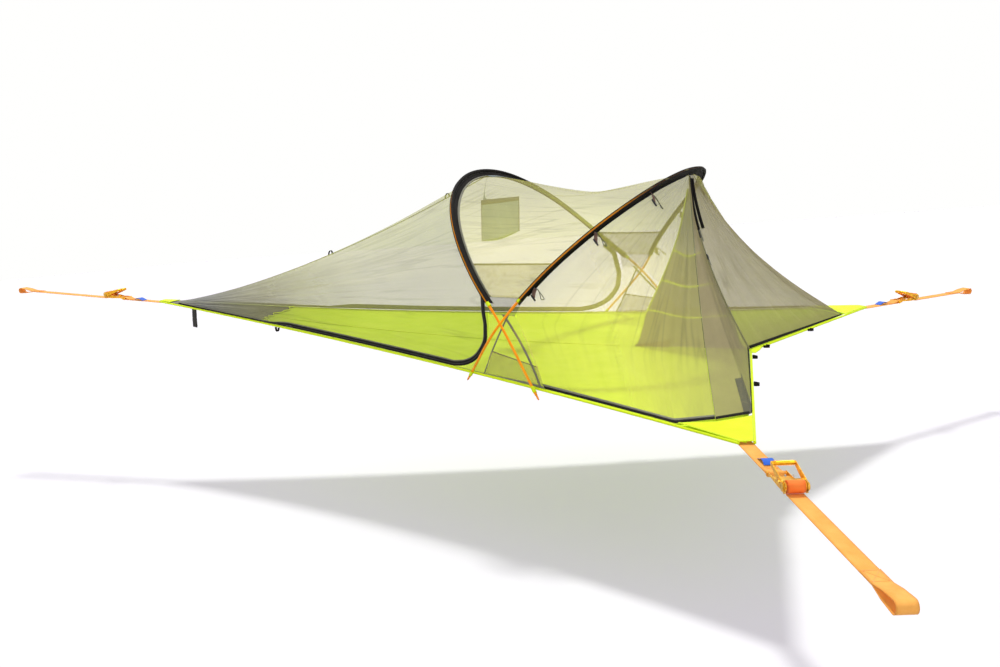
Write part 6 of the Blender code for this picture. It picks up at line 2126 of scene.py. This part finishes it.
    def handle_bar(self) -> None:
        """The springs, and the rolled grip round the handle's bar with ridges to hold it by."""
        body = f"{self.corner.word}_handle"
        handle = self.leaning(self.handle_turn)
        self.spring("handle_spring", handle, body, -0.052, 0.004)
        self.spring("lock_spring", self.leaning(-self.handle_turn), TENT, -0.056, 0.012)
        x, half, radius = self.grip
        line = line_of(lambda share: handle @ Vector((x, lerp(-half, half, share), 0)), 48)
        bar = tube(line, lambda s: radius + 0.0004 * math.cos(s * 2 * math.pi * 12), 20, 144)
        finished(f"{body}_grip", bar, Finish.ZINC).on(body, "steel")

    def build(self, nodes: dict) -> None:
        """Make everything at this corner."""
        self.straps()
        self.label()
        self.metal(nodes)
        self.handle_bar()


@dataclass(frozen=True)
class Studio:
    """Camera, plain floor and soft light as in the photograph; sizes in metres."""

    place: tuple = (1.7947, -4.4182, 0.9781)
    yaw: float = 0.4685
    pitch: float = 0.1991
    roll: float = -0.0135
    lens: float = 36.284
    ground: tuple = (-0.755, 0.099, -0.05)
    paper: float = 0.53
    glow: float = 0.305
    glow_tint: tuple = (0.87, 0.785, 1)
    world_light: float = 0.55
    sun_light: float = 2.6
    fill_light: float = 1.0
    sun_size: float = 8.0
    sun_tilt: tuple = (-0.355, -0.33)
    fill_tilt: tuple = (0.95, 0.0, 0.40)

    def camera(self) -> None:
        """Set the camera that the photograph was taken from."""
        turn = Matrix.Rotation(self.yaw, 3, "Z") @ Matrix.Rotation(math.pi / 2 - self.pitch, 3, "X")
        turn = turn @ Matrix.Rotation(self.roll, 3, "Z")
        data = bpy.data.cameras.new("PhotoCamera")
        data.lens, data.sensor_width = self.lens, 36.0
        data.clip_end = 200.0
        camera = placed("PhotoCamera", data)
        camera.matrix_world = Matrix.Translation(self.place) @ turn.to_4x4()
        bpy.context.scene.camera = camera

    def seen(self, tree: bpy.types.NodeTree) -> Socket:
        """1 for what the camera sees directly, in gloss or through glass, and 0 for light."""
        path = tree.nodes.new("ShaderNodeLightPath")
        total = path.outputs["Is Camera Ray"]
        for word in ("Is Glossy Ray", "Is Transmission Ray"):
            node = tree.nodes.new("ShaderNodeMath")
            node.operation = "MAXIMUM"
            tree.links.new(total, node.inputs[0])
            tree.links.new(path.outputs[word], node.inputs[1])
            total = node.outputs[0]
        return total

    def backdrop(self) -> None:
        """The white floor that takes the shadow, and the white world."""
        bm = bmesh.new()
        bmesh.ops.create_grid(bm, x_segments=1, y_segments=1, size=60.0)
        for vert in bm.verts:
            vert.co.z = self.ground[0] + self.ground[1] * vert.co.x + self.ground[2] * vert.co.y
        data = bpy.data.meshes.new("StudioFloor")
        bm.to_mesh(data)
        bm.free()
        material = bpy.data.materials.new("studio_white")
        material.use_nodes = True
        tree = material.node_tree
        shader = tree.nodes["Principled BSDF"]
        for word, value in (
            ("Base Color", (self.paper, self.paper, self.paper, 1)),
            ("Roughness", 0.9),
            ("Specular IOR Level", 0.0),
            ("Emission Color", (*self.glow_tint, 1)),
        ):
            shader.inputs[word].default_value = value
        glow = tree.nodes.new("ShaderNodeMath")
        glow.operation = "MULTIPLY"
        tree.links.new(self.seen(tree), glow.inputs[0])
        glow.inputs[1].default_value = self.glow
        tree.links.new(glow.outputs[0], shader.inputs["Emission Strength"])
        data.materials.append(material)
        placed("StudioFloor", data)
        world = bpy.data.worlds.new("StudioWorld")
        bpy.context.scene.world = world
        world.use_nodes = True
        back = world.node_tree.nodes["Background"]
        back.inputs["Color"].default_value = (1, 1, 0.99, 1)
        span = world.node_tree.nodes.new("ShaderNodeMapRange")
        span.inputs["To Min"].default_value = self.world_light
        world.node_tree.links.new(self.seen(world.node_tree), span.inputs["Value"])
        world.node_tree.links.new(span.outputs["Result"], back.inputs["Strength"])

    def lamps(self) -> None:
        """A broad sun from overhead and a shadowless fill from the camera's side."""
        tilts = (("Sun", self.sun_light, (*self.sun_tilt, 0)), ("Fill", self.fill_light, self.fill_tilt))
        for name, energy, tilt in tilts:
            data = bpy.data.lights.new(name, "SUN")
            data.energy, data.angle = energy, math.radians(self.sun_size)
            data.use_shadow = name == "Sun"
            lamp = placed(name, data)
            lamp.rotation_euler = tilt
            lamp.location = (0, 0, 4)

    def build(self) -> None:
        """Make the studio."""
        self.camera()
        self.backdrop()
        self.lamps()
        bpy.context.scene.view_settings.view_transform = "Standard"


def main() -> None:
    """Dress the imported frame."""
    logging.basicConfig(level=logging.INFO, format="%(message)s")
    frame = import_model()
    Studio().build()
    floor = Floor()
    floor.build()
    Hems().build()
    for arch in (TIP_ARCH, WIDE_ARCH):
        PoleSet(arch).build()
    MeshWalls().build()
    Seams().build()
    Zips().build()
    Divider(floor).build()
    LoftPocket().build()
    WallPockets().build()
    Toggles().build()
    TieOut().build()
    for corner in Corner:
        Ratchet(corner).build(frame["nodes"])


if __name__ == "__main__":
    main()
